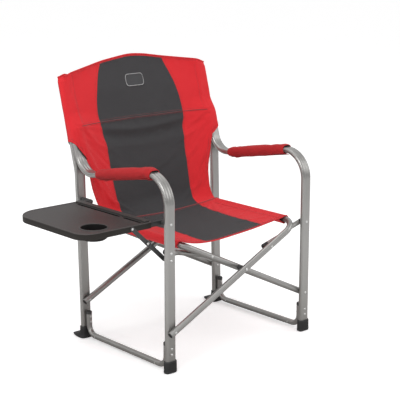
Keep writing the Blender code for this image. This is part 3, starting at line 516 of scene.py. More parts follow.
for s, side in SIDES:
    x = s * HALF_W
    body = f"frame_{side}"
    path, bend = fillet(arm_corners(x), [ARM_BEND, ARM_REAR_BEND], 22)
    stand_in(f"arm_leg_tube_{side}", skin(rings_of(path, X_AXIS, lambda i: oval(TUBE_W, TUBE_T, groove=0.0011 * bend[i]))), SILVER)
    path, bend = fillet([(x, post_y(0.010), 0.010), (x, post_y(Z_RECLINE), Z_RECLINE), (x, post_y(0.812), 0.812)], [0.12], 10)
    stand_in(f"rear_post_{side}", skin(rings_of(path, X_AXIS, lambda i: oval(TUBE_W, TUBE_T, groove=0.0005 * bend[i]))), SILVER)
    rail = [(x, RAIL_YF, RAIL_TOP), (x, RAIL_YF, RAIL_Z), (x, RAIL_YR, RAIL_Z), (x, RAIL_YR, RAIL_TOP)]
    path, bend = fillet(rail, [0.032, 0.032], 16)
    stand_in(f"floor_rail_{side}", skin(rings_of(path, X_AXIS, circle(RAIL_R))), SILVER)
    # black caps on the turned-up ends of the floor rail
    for y, where in ((RAIL_YF, "front"), (RAIL_YR, "rear")):
        cap = lathe([(-0.0075, RAIL_R + 0.00018), (0.0006, RAIL_R + 0.00018), (0.0020, RAIL_R - 0.0012), (0.0026, RAIL_R - 0.0040)], (x, y, RAIL_TOP), Z_AXIS, 28)
        make(f"rail_cap_{where}_{side}", cap, BLACK, body)
    rivet(f"rail_rivet_front_{side}", LEG_FRONT, RAIL_YF + RAIL_R, x, Z_RIVET)
    rivet(f"rail_rivet_rear_{side}", RAIL_YR - RAIL_R, post_y(Z_RIVET) + TUBE_T / 2 + 0.0003, x, Z_RIVET)
    low = rivet_bm(LEG_FRONT, RAIL_YF + RAIL_R, x, 0.0565)
    make(f"rail_rivet_low_front_{side}", low, STEEL, body)
    low = rivet_bm(RAIL_YR - RAIL_R, post_y(0.0565) + TUBE_T / 2 + 0.0003, x, 0.0565)
    make(f"rail_rivet_low_rear_{side}", low, STEEL, body)
    # small screws in the side of the rail, by its bends
    for y, z, where in ((0.1530, RAIL_Z, "rear"), (-0.1470, RAIL_Z, "front")):
        screw = lathe([(-0.0020, 0.0017), (-0.0004, 0.0019), (0.0002, 0.0030), (0.0009, 0.0028), (0.0013, 0.0018), (0.0014, 0.0009), (0.0008, 0.0008)],
                      (x - RAIL_R, y, z), -X_AXIS, 18)
        make(f"rail_screw_{where}_{side}", screw, STEEL, body)

    # front foot: a cap with a soft top edge and a lower welt
    def cap_ring(z, w, t, y):
        return [(x + a, y + b, z) for a, b in oval(w, t, 10, 5)]

    foot = skin([cap_ring(0.0, 0.0385, 0.0185, Y_FRONT), cap_ring(0.0008, 0.0415, 0.0215, Y_FRONT), cap_ring(0.0035, 0.0445, 0.0245, Y_FRONT),
                 cap_ring(0.0072, 0.0447, 0.0247, Y_FRONT), cap_ring(0.0082, 0.0440, 0.0240, Y_FRONT), cap_ring(0.0330, 0.0434, 0.0234, Y_FRONT),
                 cap_ring(0.0358, 0.0430, 0.0230, Y_FRONT), cap_ring(0.0370, 0.0412, 0.0212, Y_FRONT),
                 cap_ring(0.0370, 0.0370, 0.0170, Y_FRONT), cap_ring(0.0100, 0.0368, 0.0168, Y_FRONT)])
    stand_in(f"foot_front_{side}", foot, BLACK)

    def sole_ring(z, w, reach, front):
        pts = []
        for a, b in oval(0.0425, 0.0225, 10, 5):
            pts.append((x + a / 0.02125 * w, post_y(0.01) + (b * reach / 0.01125 if b > 0 else b * front / 0.01125), z))
        return pts

    foot = skin([sole_ring(0.0, 0.0232, 0.0485, 0.0120), sole_ring(0.0010, 0.0245, 0.0505, 0.0132), sole_ring(0.0045, 0.0256, 0.0520, 0.0140),
                 sole_ring(0.0062, 0.0252, 0.0490, 0.0139), sole_ring(0.0090, 0.0240, 0.0385, 0.0135), sole_ring(0.0125, 0.0226, 0.0255, 0.0126),
                 sole_ring(0.0170, 0.0216, 0.0172, 0.0118), sole_ring(0.0240, 0.0213, 0.0135, 0.0115), sole_ring(0.0330, 0.0212, 0.0122, 0.0113),
                 cap_ring(0.0378, 0.0425, 0.0225, post_y(0.039)), cap_ring(0.0390, 0.0408, 0.0208, post_y(0.039)),
                 cap_ring(0.0390, 0.0370, 0.0170, post_y(0.039)), cap_ring(0.0100, 0.0370, 0.0170, post_y(0.010))])
    stand_in(f"foot_rear_{side}", foot, BLACK)

LOOPS = {"a": (1, A_FRONT, A_REAR), "b": (-1, B_FRONT, B_REAR)}
for key, (s, yf, yr) in LOOPS.items():
    low = (-s * (HALF_W + 0.016 * math.cos(THETA)), Z_LOW - 0.016 * math.sin(THETA))
    path, bend = fillet([(low[0], yf, low[1]), (s * RAIL_X, yf, Z_SEAT), (s * RAIL_X, yr, Z_SEAT), (low[0], yr, low[1])], [LOOP_BEND, LOOP_BEND], 20)
    across = Vector((s * math.cos(THETA), 0, math.sin(THETA)))
    normal = across.cross(Y_AXIS)

    def squeezed(i):
        k = 1 - 0.045 * bend[i]
        return [(a / k, b * k) for a, b in circle(CROSS_R * (1 - 0.02 * bend[i]), 30)]

    stand_in(f"cross_tube_{key}", skin(rings_of(path, normal, squeezed)), SILVER)
    for y, where in ((yf, "front"), (yr, "rear")):
        plug = lathe([(-0.012, 0.0070), (0.0001, 0.0083), (0.0006, 0.0083), (0.0009, 0.0080), (0.0009, 0.0074), (0.0004, 0.0070), (0.0004, 0.0030)],
                     (low[0], y, low[1]), -across, 28)
        stand_in(f"tube_plug_{key}_{where}", plug, BLACK)

rivet("pivot_bolt_a_front", A_FRONT - CROSS_R, LEG_BACK, -HALF_W, Z_LOW)
rivet("pivot_bolt_a_rear", A_REAR - CROSS_R, post_y(Z_LOW) + TUBE_T / 2 + 0.0004, -HALF_W, Z_LOW)
rivet("pivot_bolt_b_front", LEG_FRONT, B_FRONT + CROSS_R, HALF_W, Z_LOW)
rivet("pivot_bolt_b_rear", post_y(Z_LOW) - TUBE_T / 2 - 0.0004, B_REAR + CROSS_R, HALF_W, Z_LOW)
rivet("scissor_bolt_front", A_FRONT - CROSS_R, B_FRONT + CROSS_R, 0, Z_CROSS, head=0.0054)
rivet("scissor_bolt_rear", A_REAR - CROSS_R, B_REAR + CROSS_R, 0, Z_CROSS, head=0.0054)
for key, s, y, where in (("a", 1, A_FRONT, "front"), ("a", 1, A_REAR, "rear"), ("b", -1, B_FRONT, "front"), ("b", -1, B_REAR, "rear")):
    rivet(f"link_bolt_{key}_{where}", y - CROSS_R, y + CROSS_R, s * LINK_X, LINK_Z, back=False)


def bush(node, y0, y1, x, z, r=0.0070):
    length = y1 - y0 - 2 * GAP
    stand_in(node, lathe([(0, r - 0.0006), (0.0005, r), (length - 0.0005, r), (length, r - 0.0006)], (x, y0 + GAP, z), Y_AXIS, 26), BLACK)


bush("scissor_spacer_front", A_FRONT + CROSS_R, B_FRONT - CROSS_R, 0, Z_CROSS)
bush("scissor_spacer_rear", A_REAR + CROSS_R, B_REAR - CROSS_R, 0, Z_CROSS)

for name, s, y_leg, y_tube, leg_front in (
        ("link_front_left", -1, LINK_LEG_F, LINK_B_F, LEG_FRONT), ("link_front_right", 1, LINK_LEG_F, LINK_A_F, LEG_FRONT),
        ("link_rear_left", -1, LINK_LEG_R, LINK_B_R, post_y(Z_LINK) - TUBE_T / 2 - 0.0003),
        ("link_rear_right", 1, LINK_LEG_R, LINK_A_R, post_y(Z_LINK) - TUBE_T / 2 - 0.0003)):
    leg, far = Vector((s * HALF_W, 0, Z_LINK)), Vector((s * LINK_X, 0, LINK_Z))
    along, length = (far - leg).normalized(), (far - leg).length
    j0, j1 = (0.030, 0.068) if s < 0 else (0.056, 0.104)
    at = lambda d, y: Vector(((leg + along * d).x, y, (leg + along * d).z))
    d0, d1 = -0.0075, length + 0.014
    path, bend = fillet([at(d0, y_leg), at(j0 + 0.004, y_leg), at(j1 - 0.004, y_tube), at(d1, y_tube)], [0.03, 0.03], 8)
    # the black end sleeves start and stop at exact points
    path = [path[0], at(0.0135, y_leg), at(0.0137, y_leg), *path[1:-1], at(d1 - 0.0205, y_tube), at(d1 - 0.0203, y_tube), path[-1]]
    path, scale = rounded_ends(path, LINK_R)
    dist = [(p - leg).dot(along) for p in path]
    mats = [1 if (a < 0.0136 and b < 0.0138) or (a > d1 - 0.0206 and b > d1 - 0.0206) else 0 for a, b in zip(dist, dist[1:])]
    link = skin(rings_of(path, along.cross(Y_AXIS), lambda i: circle(LINK_R * scale[i], 26)), True, mats)
    stand_in(name, link, [SILVER, BLACK])
    rivet(f"link_rivet_{name[5:]}", leg_front, y_leg + LINK_R, s * HALF_W, Z_LINK)

# ------------------------------------------------------------ side table
def table_outline(inset, z):
    x0, x1, y0, y1 = TABLE_X[0] + inset, TABLE_X[1] - inset, TABLE_Y[0] + inset, TABLE_Y[1] - inset
    near, far = (r - inset for r in TABLE_CORNER)
    small = max(0.008 - inset, 0.003)
    pts = []
    for cx, cy, r, a0, steps in ((x1 - small, y0 + small, small, -90, 6), (x1 - small, y1 - small, small, 0, 6),
                                 (x0 + far, y1 - far, far, 90, 24), (x0 + near, y0 + near, near, 180, 20)):
        for k in range(steps + 1):
            a = math.radians(a0 + 90 * k / steps)
            pts.append((cx + r * math.cos(a), cy + r * math.sin(a), z))
    return pts


def box_bm(x0, x1, y0, y1, z0, z1, soft=0.0, steps=3):
    bm = bmesh.new()
    bmesh.ops.create_cube(bm, size=1.0)
    for v in bm.verts:
        v.co = Vector(((x0 + x1) / 2 + v.co.x * (x1 - x0), (y0 + y1) / 2 + v.co.y * (y1 - y0), (z0 + z1) / 2 + v.co.z * (z1 - z0)))
    if soft:
        bmesh.ops.bevel(bm, geom=list(bm.edges), offset=soft, segments=steps, affect="EDGES", profile=0.5)
    return bm


deck_low = TABLE_TOP - 0.0042
outer = [table_outline(0.0030, deck_low), table_outline(0.0030, TABLE_TOP - SKIRT), table_outline(0.0003, TABLE_TOP - SKIRT), table_outline(0.0, TABLE_TOP - SKIRT + 0.0004),
         table_outline(0.0, TABLE_TOP - 0.0030), table_outline(0.0003, TABLE_TOP - 0.0016), table_outline(0.0010, TABLE_TOP - 0.0006),
         table_outline(0.0022, TABLE_TOP), table_outline(0.0050, TABLE_TOP), table_outline(0.0062, TABLE_TOP - 0.0004), table_outline(0.0070, TABLE_TOP - 0.0012)]
table_bm = skin(outer)
cup_at = (CUP[0], CUP[1], 0)
lip = box_bm(TABLE_X[1] - 0.022, TABLE_X[1] - 0.002, TABLE_Y[0] + 0.010, TABLE_Y[1] - 0.010, TABLE_TOP - 0.0026, TABLE_TOP + 0.0042, 0.0018, 4)
cup_out = lathe([(CUP_FLOOR - 0.003, CUP_R - 0.008), (CUP_FLOOR - 0.0022, CUP_R - 0.005), (CUP_FLOOR + 0.002, CUP_R + 0.0005), (TABLE_TOP - 0.0016, CUP_R + 0.0035),
                 (TABLE_TOP - 0.0014, CUP_R + 0.0062), (TABLE_TOP - 0.0002, CUP_R + 0.0055), (TABLE_TOP + 0.0008, CUP_R + 0.0038), (TABLE_TOP + 0.0010, CUP_R + 0.0020)], cup_at, Z_AXIS, 64)
cup_in = lathe([(CUP_FLOOR, CUP_R - 0.010), (CUP_FLOOR + 0.0006, CUP_R - 0.0065), (CUP_FLOOR + 0.003, CUP_R - 0.0035), (TABLE_TOP - 0.003, CUP_R - 0.0008),
                (TABLE_TOP - 0.0004, CUP_R + 0.0002), (TABLE_TOP + 0.0012, CUP_R + 0.0018), (TABLE_TOP + 0.006, CUP_R + 0.0030)], cup_at, Z_AXIS, 64)
steps = [("UNION", lip), ("UNION", cup_out), ("DIFFERENCE", cup_in)]
for y0, y1 in ((-0.162, -0.080), (-0.062, 0.146)):
    rings = [[(-0.3495 + b, (y0 + y1) / 2 + a, z) for a, b in oval(y1 - y0 + 2 * g, 0.0100 + 2 * g, 8, 3)]
             for z, g in ((TABLE_TOP - 0.02, 0), (TABLE_TOP - 0.0022, 0), (TABLE_TOP - 0.0010, 0.0010), (TABLE_TOP + 0.0100, 0.0012))]
    steps.append(("DIFFERENCE", skin(rings)))
# notches where the arms pass the inner skirt, and drain holes in the cup's floor
for y0, y1 in ((TABLE_Y[0] + 0.0030, TABLE_Y[0] + 0.0072), (TABLE_Y[1] - 0.0072, TABLE_Y[1] - 0.0030)):
    steps.append(("DIFFERENCE", box_bm(TABLE_X[1] - 0.009, TABLE_X[1] + 0.005, y0, y1, 0.4400, TABLE_TOP - 0.0043)))
for k in range(4):
    a = math.pi / 4 + k * math.pi / 2
    steps.append(("DIFFERENCE", lathe([(CUP_FLOOR - 0.01, 0.0028), (CUP_FLOOR + 0.003, 0.0028)], (CUP[0] + 0.015 * math.cos(a), CUP[1] + 0.015 * math.sin(a), 0), Z_AXIS, 16)))
# ribs under the deck
for xr in (-0.420, -0.445):
    if xr == -0.420:
        steps.append(("UNION", box_bm(xr - 0.001, xr + 0.001, TABLE_Y[0] + 0.008, TABLE_Y[1] - 0.008, TABLE_TOP - 0.013, TABLE_TOP - 0.0030)))
for yr in (-0.045, 0.030, 0.105):
    steps.append(("UNION", box_bm(TABLE_X[0] + 0.012, TABLE_X[1] - 0.034, yr - 0.001, yr + 0.001, TABLE_TOP - 0.012, TABLE_TOP - 0.0030)))
table_bm = carved(table_bm, steps)
for face in table_bm.faces:
    c = face.calc_center_median()
    # painted shade: the cup's well and the slot walls take the near-black copy of the plastic
    shaded_well = math.hypot(c.x - CUP[0], c.y - CUP[1]) < CUP_R + 0.0004 and c.z < TABLE_TOP - 0.0012
    shaded_slot_wall = abs(c.x + 0.3495) < 0.0064 and TABLE_TOP - 0.006 < c.z < TABLE_TOP - 0.0012 and abs(face.normal.z) < 0.5
    # painted shade: side walls below the top take the darker skirt copy of the plastic
    shaded_side_wall = abs(face.normal.z) < 0.55 and c.z < TABLE_TOP - 0.0010
    face.material_index = 1 if shaded_well or shaded_slot_wall else 2 if shaded_side_wall else 0
stand_in("table_top", table_bm, [TABLE, TABLE_PAINTED_SHADE, TABLE_SHADED_SIDE], 28)
# painted shadow: a near-black channel under the two slots stands in for the shade in the slot gaps
channel = skin([[(-0.3495 + b, -0.008 + a, z) for a, b in oval(0.324 + 2 * g, 0.0140 + 2 * g, 8, 5)]
                for z, g in ((TABLE_TOP - 0.0041, 0.0), (TABLE_TOP - 0.0100, 0.0), (TABLE_TOP - 0.0108, -0.0008))])
make("table_slot_shadow_channel", carved(channel, [("DIFFERENCE", skin([[(-0.3495 + b, -0.008 + a, z) for a, b in oval(0.3210, 0.0114, 8, 5)]
                                                                for z in (TABLE_TOP - 0.0092, TABLE_TOP + 0.0100)]))]), TABLE_PAINTED_SHADE, "table", sharp=30)


def bar_bm(p, q, half, y0, y1):
    p, q = Vector(p), Vector(q)
    d = (q - p).normalized()
    n = Vector((-d.y, d.x))
    rings = []
    for y, h in ((y0, half - 0.0005), (y0 + 0.0002, half - 0.0001), (y0 + 0.0006, half), (y1 - 0.0006, half), (y1 - 0.0002, half - 0.0001), (y1, half - 0.0005)):
        ring = []
        for c, base in ((q, -90), (p, 90)):
            for k in range(13):
                a = math.radians(base + 15 * k)
                v = c + (d * math.cos(a) + n * math.sin(a)) * h
                ring.append((v.x, y, v.y))
        rings.append(ring)
    return skin(rings)


BAR_F = (TABLE_Y[0] + 0.0033, TABLE_Y[0] + 0.0063)
BAR_R = (TABLE_Y[1] - 0.0063, TABLE_Y[1] - 0.0033)
hx, hz = -HALF_W, Z_HINGE
px = hx - BRACE_A
for where, ys in (("front", BAR_F), ("rear", BAR_R)):
    room = box_bm(TABLE_X[1] - 0.194, TABLE_X[1] + 0.006, -0.3, 0.3, TABLE_TOP - 0.0045, TABLE_TOP + 0.02)
    stand_in(f"table_arm_{where}", carved(bar_bm((hx, hz), (px - 0.055, hz), 0.0078, *ys), [("DIFFERENCE", room)]), BAR, 30)
rivet("table_hinge_pin_front", LEG_FRONT, BAR_F[1], hx, hz)
# painted shade: this steel pin takes the black bar material because it sits in shade on the inner side of the post
rivet("table_hinge_pin_rear", BAR_R[0], post_y(hz) + TUBE_T / 2 + 0.0004, hx, hz, mat=BAR)
bush("table_spacer_front", LEG_BACK, BAR_F[0], hx, hz, 0.0065)
bush("table_spacer_rear", BAR_R[1], post_y(hz) - TUBE_T / 2 - 0.0002, hx, hz, 0.0080)
rivet("table_rivet_rear", BAR_R[0], TABLE_Y[1], px, hz, head=0.0042)
LOW, UPP = (TABLE_Y[0] - 0.0045, TABLE_Y[0] - 0.0025), (TABLE_Y[0] - 0.0022, TABLE_Y[0] - 0.0002)
span = math.hypot(BRACE_A, BRACE_B)
l_low = (span + BRACE_A - BRACE_B) / 2
foot_z = hz - BRACE_B
mid = (hx - BRACE_A * l_low / span, foot_z + BRACE_B * l_low / span)
stand_in("brace_lower", bar_bm((hx, foot_z), mid, 0.0068, *LOW), BAR, 30)
stand_in("brace_upper", bar_bm((px, hz), mid, 0.0068, *UPP), BAR, 30)
bush("brace_spacer", LEG_BACK, LOW[0], hx, foot_z, 0.0050)
rivet("brace_foot_pin", LEG_FRONT, LOW[1], hx, foot_z, back=False)
rivet("brace_mid_rivet", LOW[0], LOW[1], *mid, back=False)
rivet("brace_top_pin", UPP[0] - 0.0002, BAR_F[1], px, hz, head=0.0042, shank=0.0036, front=False)
# ------------------------------------------------------------ cloth helpers
def simulate(P, pinned, reference=None, frames=22, pressure=0.0, gravity=1.0, slack=0.02, cap=0.006, ring=False, stiff=22.0, bending=0.4):
    """Runs Blender's cloth on a grid of points and returns the moved points, capped at cap."""
    R, C, _ = P.shape
    verts = P.reshape(-1, 3)
    quads = []
    for i in range(R - 1):
        for j in range(C if ring else C - 1):
            m = (j + 1) % C
            quads.append((i * C + j, i * C + m, (i + 1) * C + m, (i + 1) * C + j))
    mesh = bpy.data.meshes.new("cloth_run")
    mesh.from_pydata(verts.tolist(), [], quads)
    obj = bpy.data.objects.new("cloth_run", mesh)
    scene.collection.objects.link(obj)
    group = obj.vertex_groups.new(name="pin")
    group.add([int(k) for k in np.flatnonzero(pinned.reshape(-1))], 1.0, "REPLACE")
    mod = obj.modifiers.new("cloth", "CLOTH")
    cs = mod.settings
    cs.quality, cs.mass = 6, 0.012
    cs.tension_stiffness = cs.compression_stiffness = stiff
    cs.shear_stiffness, cs.bending_stiffness = stiff * 0.4, bending
    cs.tension_damping = cs.compression_damping = 8.0
    cs.air_damping = 3.0
    cs.vertex_group_mass = "pin"
    cs.shrink_min = cs.shrink_max = -slack
    cs.effector_weights.gravity = gravity
    if pressure:
        cs.use_pressure = True
        cs.uniform_pressure_force = pressure
    mod.collision_settings.use_collision = False
    mod.point_cache.frame_start, mod.point_cache.frame_end = 1, frames
    for f in range(1, frames + 1):
        scene.frame_set(f)
    dg = bpy.context.evaluated_depsgraph_get()
    done = obj.evaluated_get(dg).to_mesh()
    co = np.empty(len(done.vertices) * 3, np.float64)
    flat = np.empty(len(done.vertices) * 3, np.float32)
    done.vertices.foreach_get("co", flat)
    co = flat.astype(float).reshape(R, C, 3)
    obj.evaluated_get(dg).to_mesh_clear()
    bpy.data.objects.remove(obj, do_unlink=True)
    bpy.data.meshes.remove(mesh)
    scene.frame_set(1)
    move = co - P
    size = np.linalg.norm(move, axis=2, keepdims=True)
    move *= np.where(size > 1e-9, cap * np.tanh(size / cap) / np.maximum(size, 1e-9), 0)
    print("cloth", R, C, "largest move mm", round(float(size.max()) * 1000, 2))
    return P + np.nan_to_num(move)


def normals(P, towards):
    n = np.cross(np.gradient(P, axis=1), np.gradient(P, axis=0))
    n /= np.maximum(np.linalg.norm(n, axis=2, keepdims=True), 1e-12)
    if (n * np.array(towards)).sum() < 0:
        n = -n
    return n


def sheet(P, N, thick, mat_of, keep=None, uv_origin=None):
    """A cloth of two skins with a closed rim.  mat_of(i, j) is a face's material; P is rows by columns."""
    R, C, _ = P.shape
    du = np.linalg.norm(np.diff(P, axis=1), axis=2)
    dv = np.linalg.norm(np.diff(P, axis=0), axis=2)
    U = np.concatenate([np.zeros((R, 1)), du.cumsum(1)], 1)
    U -= U[:, C // 2:C // 2 + 1]
    V = np.concatenate([np.zeros((1, C)), dv.cumsum(0)], 0)
    V = np.repeat(V[:, C // 2:C // 2 + 1], C, axis=1)
    if uv_origin is not None:
        U, V = uv_origin
    bm = bmesh.new()
    layer = bm.loops.layers.uv.new("UVMap")
    top = [[bm.verts.new(P[i, j] + N[i, j] * thick / 2) for j in range(C)] for i in range(R)]
    low = [[bm.verts.new(P[i, j] - N[i, j] * thick / 2) for j in range(C)] for i in range(R)]

    def face(verts, at, mat):
        f = bm.faces.new(verts)
        f.material_index = mat
        for loop, (i, j) in zip(f.loops, at):
            loop[layer].uv = (U[i, j], V[i, j])

    for i in range(R - 1):
        for j in range(C - 1):
            at = ((i, j), (i, j + 1), (i + 1, j + 1), (i + 1, j))
            face([top[a][b] for a, b in at], at, mat_of(i, j))
            face([low[a][b] for a, b in at[::-1]], at[::-1], mat_of(i, j))
    rim = [(i, 0) for i in range(R)] + [(R - 1, j) for j in range(1, C)] + [(i, C - 1) for i in range(R - 2, -1, -1)] + [(0, j) for j in range(C - 2, 0, -1)]
    for a, b in zip(rim, rim[1:] + rim[:1]):
        i, j = min(a[0], b[0], R - 2), min(a[1], b[1], C - 2)
        face([top[a[0]][a[1]], low[a[0]][a[1]], low[b[0]][b[1]], top[b[0]][b[1]]], (a, a, b, b), mat_of(i, j))
    return bm


def dashes(bm, line, N, mat, length=0.0034, gap=0.0016, r=0.00046, lift=0.0002):
    """A row of stitches along a line of surface points with their normals."""
    line = [Vector(p) for p in line]
    at = [0.0]
    for a, b in zip(line, line[1:]):
        at.append(at[-1] + (b - a).length)
    at = np.array(at)
    pts, nor = np.array([list(p) for p in line]), np.array([list(v) for v in N])
    get = lambda s: (Vector([np.interp(s, at, pts[:, k]) for k in range(3)]), Vector([np.interp(s, at, nor[:, k]) for k in range(3)]).normalized())
    s = 0.002
    out = bmesh.new()
    while s + length < at[-1]:
        rings = []
        for t, k, up in ((0, 0.45, -0.5), (0.2, 1.0, 0.3), (0.8, 1.0, 0.3), (1, 0.45, -0.5)):
            p, n = get(s + t * length)
            q, _ = get(s + t * length + 1e-4)
            d = (q - p).normalized()
            side = d.cross(n).normalized()
            c = p + n * (lift + up * r)
            rings.append([out.verts.new(c + (side * math.cos(a) + n * math.sin(a)) * r * k) for a in (0.0, 1.2566, 2.5133, 3.7699, 5.0265)])
        for one, two in zip(rings, rings[1:]):
            for k in range(5):
                out.faces.new((one[k], one[(k + 1) % 5], two[(k + 1) % 5], two[k]))
        out.faces.new(rings[0][::-1])
        out.faces.new(rings[-1])
        s += length + gap
    add_to(bm, out, mat)


def cord(bm, line, ref, r, mat, n=10, flat=1.0):
    """Binding or piping along a line of points."""
    add_to(bm, skin(rings_of(line, ref, [(a * flat, b) for a, b in circle(r, n)])), mat)


def gauss(d, w):
    return math.exp(-(d / w) ** 2)


def crease(x, z, a, b, width, height, power=1.0):
    """A long soft fold from a to b, fading at both ends."""
    ax, az = a
    dx, dz = b[0] - ax, b[1] - az
    length = math.hypot(dx, dz)
    t = ((x - ax) * dx + (z - az) * dz) / length ** 2
    if not -0.1 < t < 1.1:
        return 0.0
    d = ((x - ax) * dz - (z - az) * dx) / length
    fade = math.sin(math.pi * min(max((t + 0.05) / 1.1, 0), 1)) ** power
    return height * gauss(d, width) * fade


# ------------------------------------------------------------ back cloth
SEAM_Z = 0.680
BACK_T = 0.0020
EDGE_L = ((0.384, 0.4100, 0.430, 0.450, 0.480, 0.510, 0.546, 0.570, 0.590, 0.605, 0.620, 0.640), (0.227, 0.2330, 0.239, 0.2460, 0.2540, 0.2585, 0.2605, 0.2635, 0.2660, 0.2720, 0.2830, 0.2830))
EDGE_R = ((0.384, 0.4270, 0.470, 0.500, 0.546, 0.575, 0.600, 0.612, 0.622, 0.640), (0.226, 0.2270, 0.230, 0.2340, 0.2460, 0.2540, 0.2640, 0.2740, 0.2830, 0.2830))
TOP_X = (-0.306, -0.290, -0.270, -0.200, -0.125, -0.060, -0.015, 0.015, 0.060, 0.125, 0.200, 0.270, 0.290, 0.306)
TOP_Z = (0.8265, 0.8325, 0.8375, 0.8495, 0.8625, 0.8710, 0.8760, 0.8770, 0.8735, 0.8630, 0.8530, 0.8440, 0.8385, 0.8280)


def edge_x(s, z):
    return float(np.interp(z, *(EDGE_L if s < 0 else EDGE_R)))


def top_z(x):
    near = [float(np.interp(x + d, TOP_X, TOP_Z)) for d in (-0.010, 0.0, 0.010)]
    return (near[0] + near[1] + near[2]) / 3


def panel_x(z):
    return float(np.mean([np.interp(z + d, (0.385, 0.41, 0.50, 0.55, 0.60, 0.64, 0.68, 0.72, 0.76, 0.80, 0.83, 0.862, 0.88), (0.150, 0.152, 0.158, 0.159, 0.161, 0.168, 0.1755, 0.1745, 0.168, 0.156, 0.144, 0.129, 0.121)) for d in (-0.018, -0.009, 0.0, 0.009, 0.018)]))


def back_point(x, z):
    """Middle of the cloth's thickness."""
    q = min(abs(x) / 0.262, 1.15)
    hollow = float(np.interp(z, (0.384, 0.41, 0.52, 0.60, 0.68, 0.78, 0.862, 0.88), (0.036, 0.035, 0.024, 0.0200, 0.0185, 0.018, 0.026, 0.028)))
    front = -0.0112 - 0.0170 * (1 - smooth(0.672, 0.722, z)) * smooth(0.48, 0.575, z)
    y = back_plane(z) - 0.0112 + hollow * max(0.0, 1 - q * q) + (front + 0.0112) * min(q, 1.0) ** 5
    # fold under the cross seam, sagging in the middle
    sag = SEAM_Z - 0.034 + 0.55 * x * x
    if z < SEAM_Z:
        fade = smooth(0.235, 0.10, abs(x))
        y -= 0.0070 * gauss(z - sag, 0.0120) * (0.35 + 0.65 * fade)
        y += 0.0064 * gauss(z - sag + 0.028, 0.0150) * fade
        y -= 0.0018 * gauss(z - sag + 0.052, 0.0130) * fade
    y += 0.0016 * gauss(z - SEAM_Z, 0.0035)
    for s in (-1, 1):
        k = s * x
        if k < 0.02 or z > 0.72:
            continue
        # pull lines from the sleeve ends towards the seat corners
        for a, b, w, h in (((0.285, 0.640), (0.150, 0.520), 0.0075, -0.0042), ((0.280, 0.650), (0.110, 0.575), 0.0070, -0.0030),
                           ((0.262, 0.610), (0.175, 0.450), 0.0065, -0.0036), ((0.250, 0.585), (0.205, 0.430), 0.0060, -0.0030),
                           ((0.285, 0.660), (0.170, 0.640), 0.0060, -0.0022), ((0.270, 0.622), (0.190, 0.555), 0.0055, 0.0030),
                           ((0.240, 0.520), (0.150, 0.400), 0.0080, -0.0030), ((0.225, 0.460), (0.100, 0.395), 0.0080, -0.0028)):
            y += crease(k, z, (a[0] + (0.004 if s < 0 else 0), a[1] + (0.006 if s < 0 else 0)), b, w, h * (1.0 if s > 0 else 0.85))
    y += 0.0022 * noise.noise(Vector((x * 9.0, z * 13.0, 3.7))) * smooth(0.28, 0.22, abs(x))
    y += 0.0009 * noise.noise(Vector((x * 26.0, z * 34.0, 9.1))) * smooth(0.28, 0.24, abs(x))
    # elbow into the rear edge of the seat
    if z < 0.436:
        t = min((0.436 - z) / 0.052, 1.0) ** 3
        y = y * (1 - t) + 0.1500 * t
    return y


def columns(z, edge_left, edge_right, side=22, middle=48):
    e = panel_x(z)
    return np.concatenate([np.linspace(-edge_left, -e, side + 1)[:-1], np.linspace(-e, e, middle + 1), np.linspace(e, edge_right, side + 1)[1:]])


SIDE, MIDDLE = 24, 50
rows_up = np.linspace(0.0, 1.0, 44)
upper = []
for v in rows_up:
    row = []
    guess = SEAM_Z + v * (0.866 - SEAM_Z)
    for x in columns(guess, 0.283, 0.283, SIDE, MIDDLE):
        z = SEAM_Z + v * (top_z(x) - 0.0036 * smooth(0.258, 0.283, abs(x)) - SEAM_Z)
        row.append((x, back_point(x, z), z))
    upper.append(row)
upper = np.array(upper)
rows_low = np.concatenate([np.linspace(SEAM_Z, 0.440, 62), 0.440 - 0.056 * np.linspace(0, 1, 23)[1:] ** 0.72])
def seat_rear(x):
    return Z_SEAT + 0.0118 - 0.0150 * (1 - 0.22 * (0.15 / 0.18) ** 2) * (1 - min(abs(x) / RAIL_X, 1.0) ** 2.3)


lower = np.array([[(x, back_point(x, z), z + (seat_rear(x) + 0.0006 - 0.384) * max(0.0, (0.436 - z) / 0.052) ** 2.2)
                   for x in columns(z, edge_x(-1, z), edge_x(1, z), SIDE, MIDDLE)] for z in rows_low])
pin = np.zeros(upper.shape[:2], bool)
pin[0, :] = pin[-1, :] = True
pin[:, :3] = pin[:, -3:] = True
upper = simulate(upper, pin, gravity=0.6, slack=0.012, cap=0.0040, frames=20)
pin = np.zeros(lower.shape[:2], bool)
pin[0, :] = pin[-1, :] = True
for i, z in enumerate(rows_low):
    if z > 0.612:
        pin[i, :3] = pin[i, -3:] = True
lower = simulate(lower, pin, gravity=0.8, slack=0.016, cap=0.0060, frames=22)
lower[:, :, 2] = np.minimum(lower[:, :, 2], SEAM_Z)

N_up, N_low = normals(upper, (0, -1, 0)), normals(lower, (0, -1, 0))
shared = N_up[0] + N_low[0]
shared /= np.linalg.norm(shared, axis=1, keepdims=True)
N_up[0] = N_low[0] = shared


def panel_mat(i, j):
    return 1 if SIDE <= j < SIDE + MIDDLE else 0


def upper_mat(i, j):
    """The grey panel stops under the red band along the top."""
    return panel_mat(i, j) if i < len(rows_up) - 2 else 0


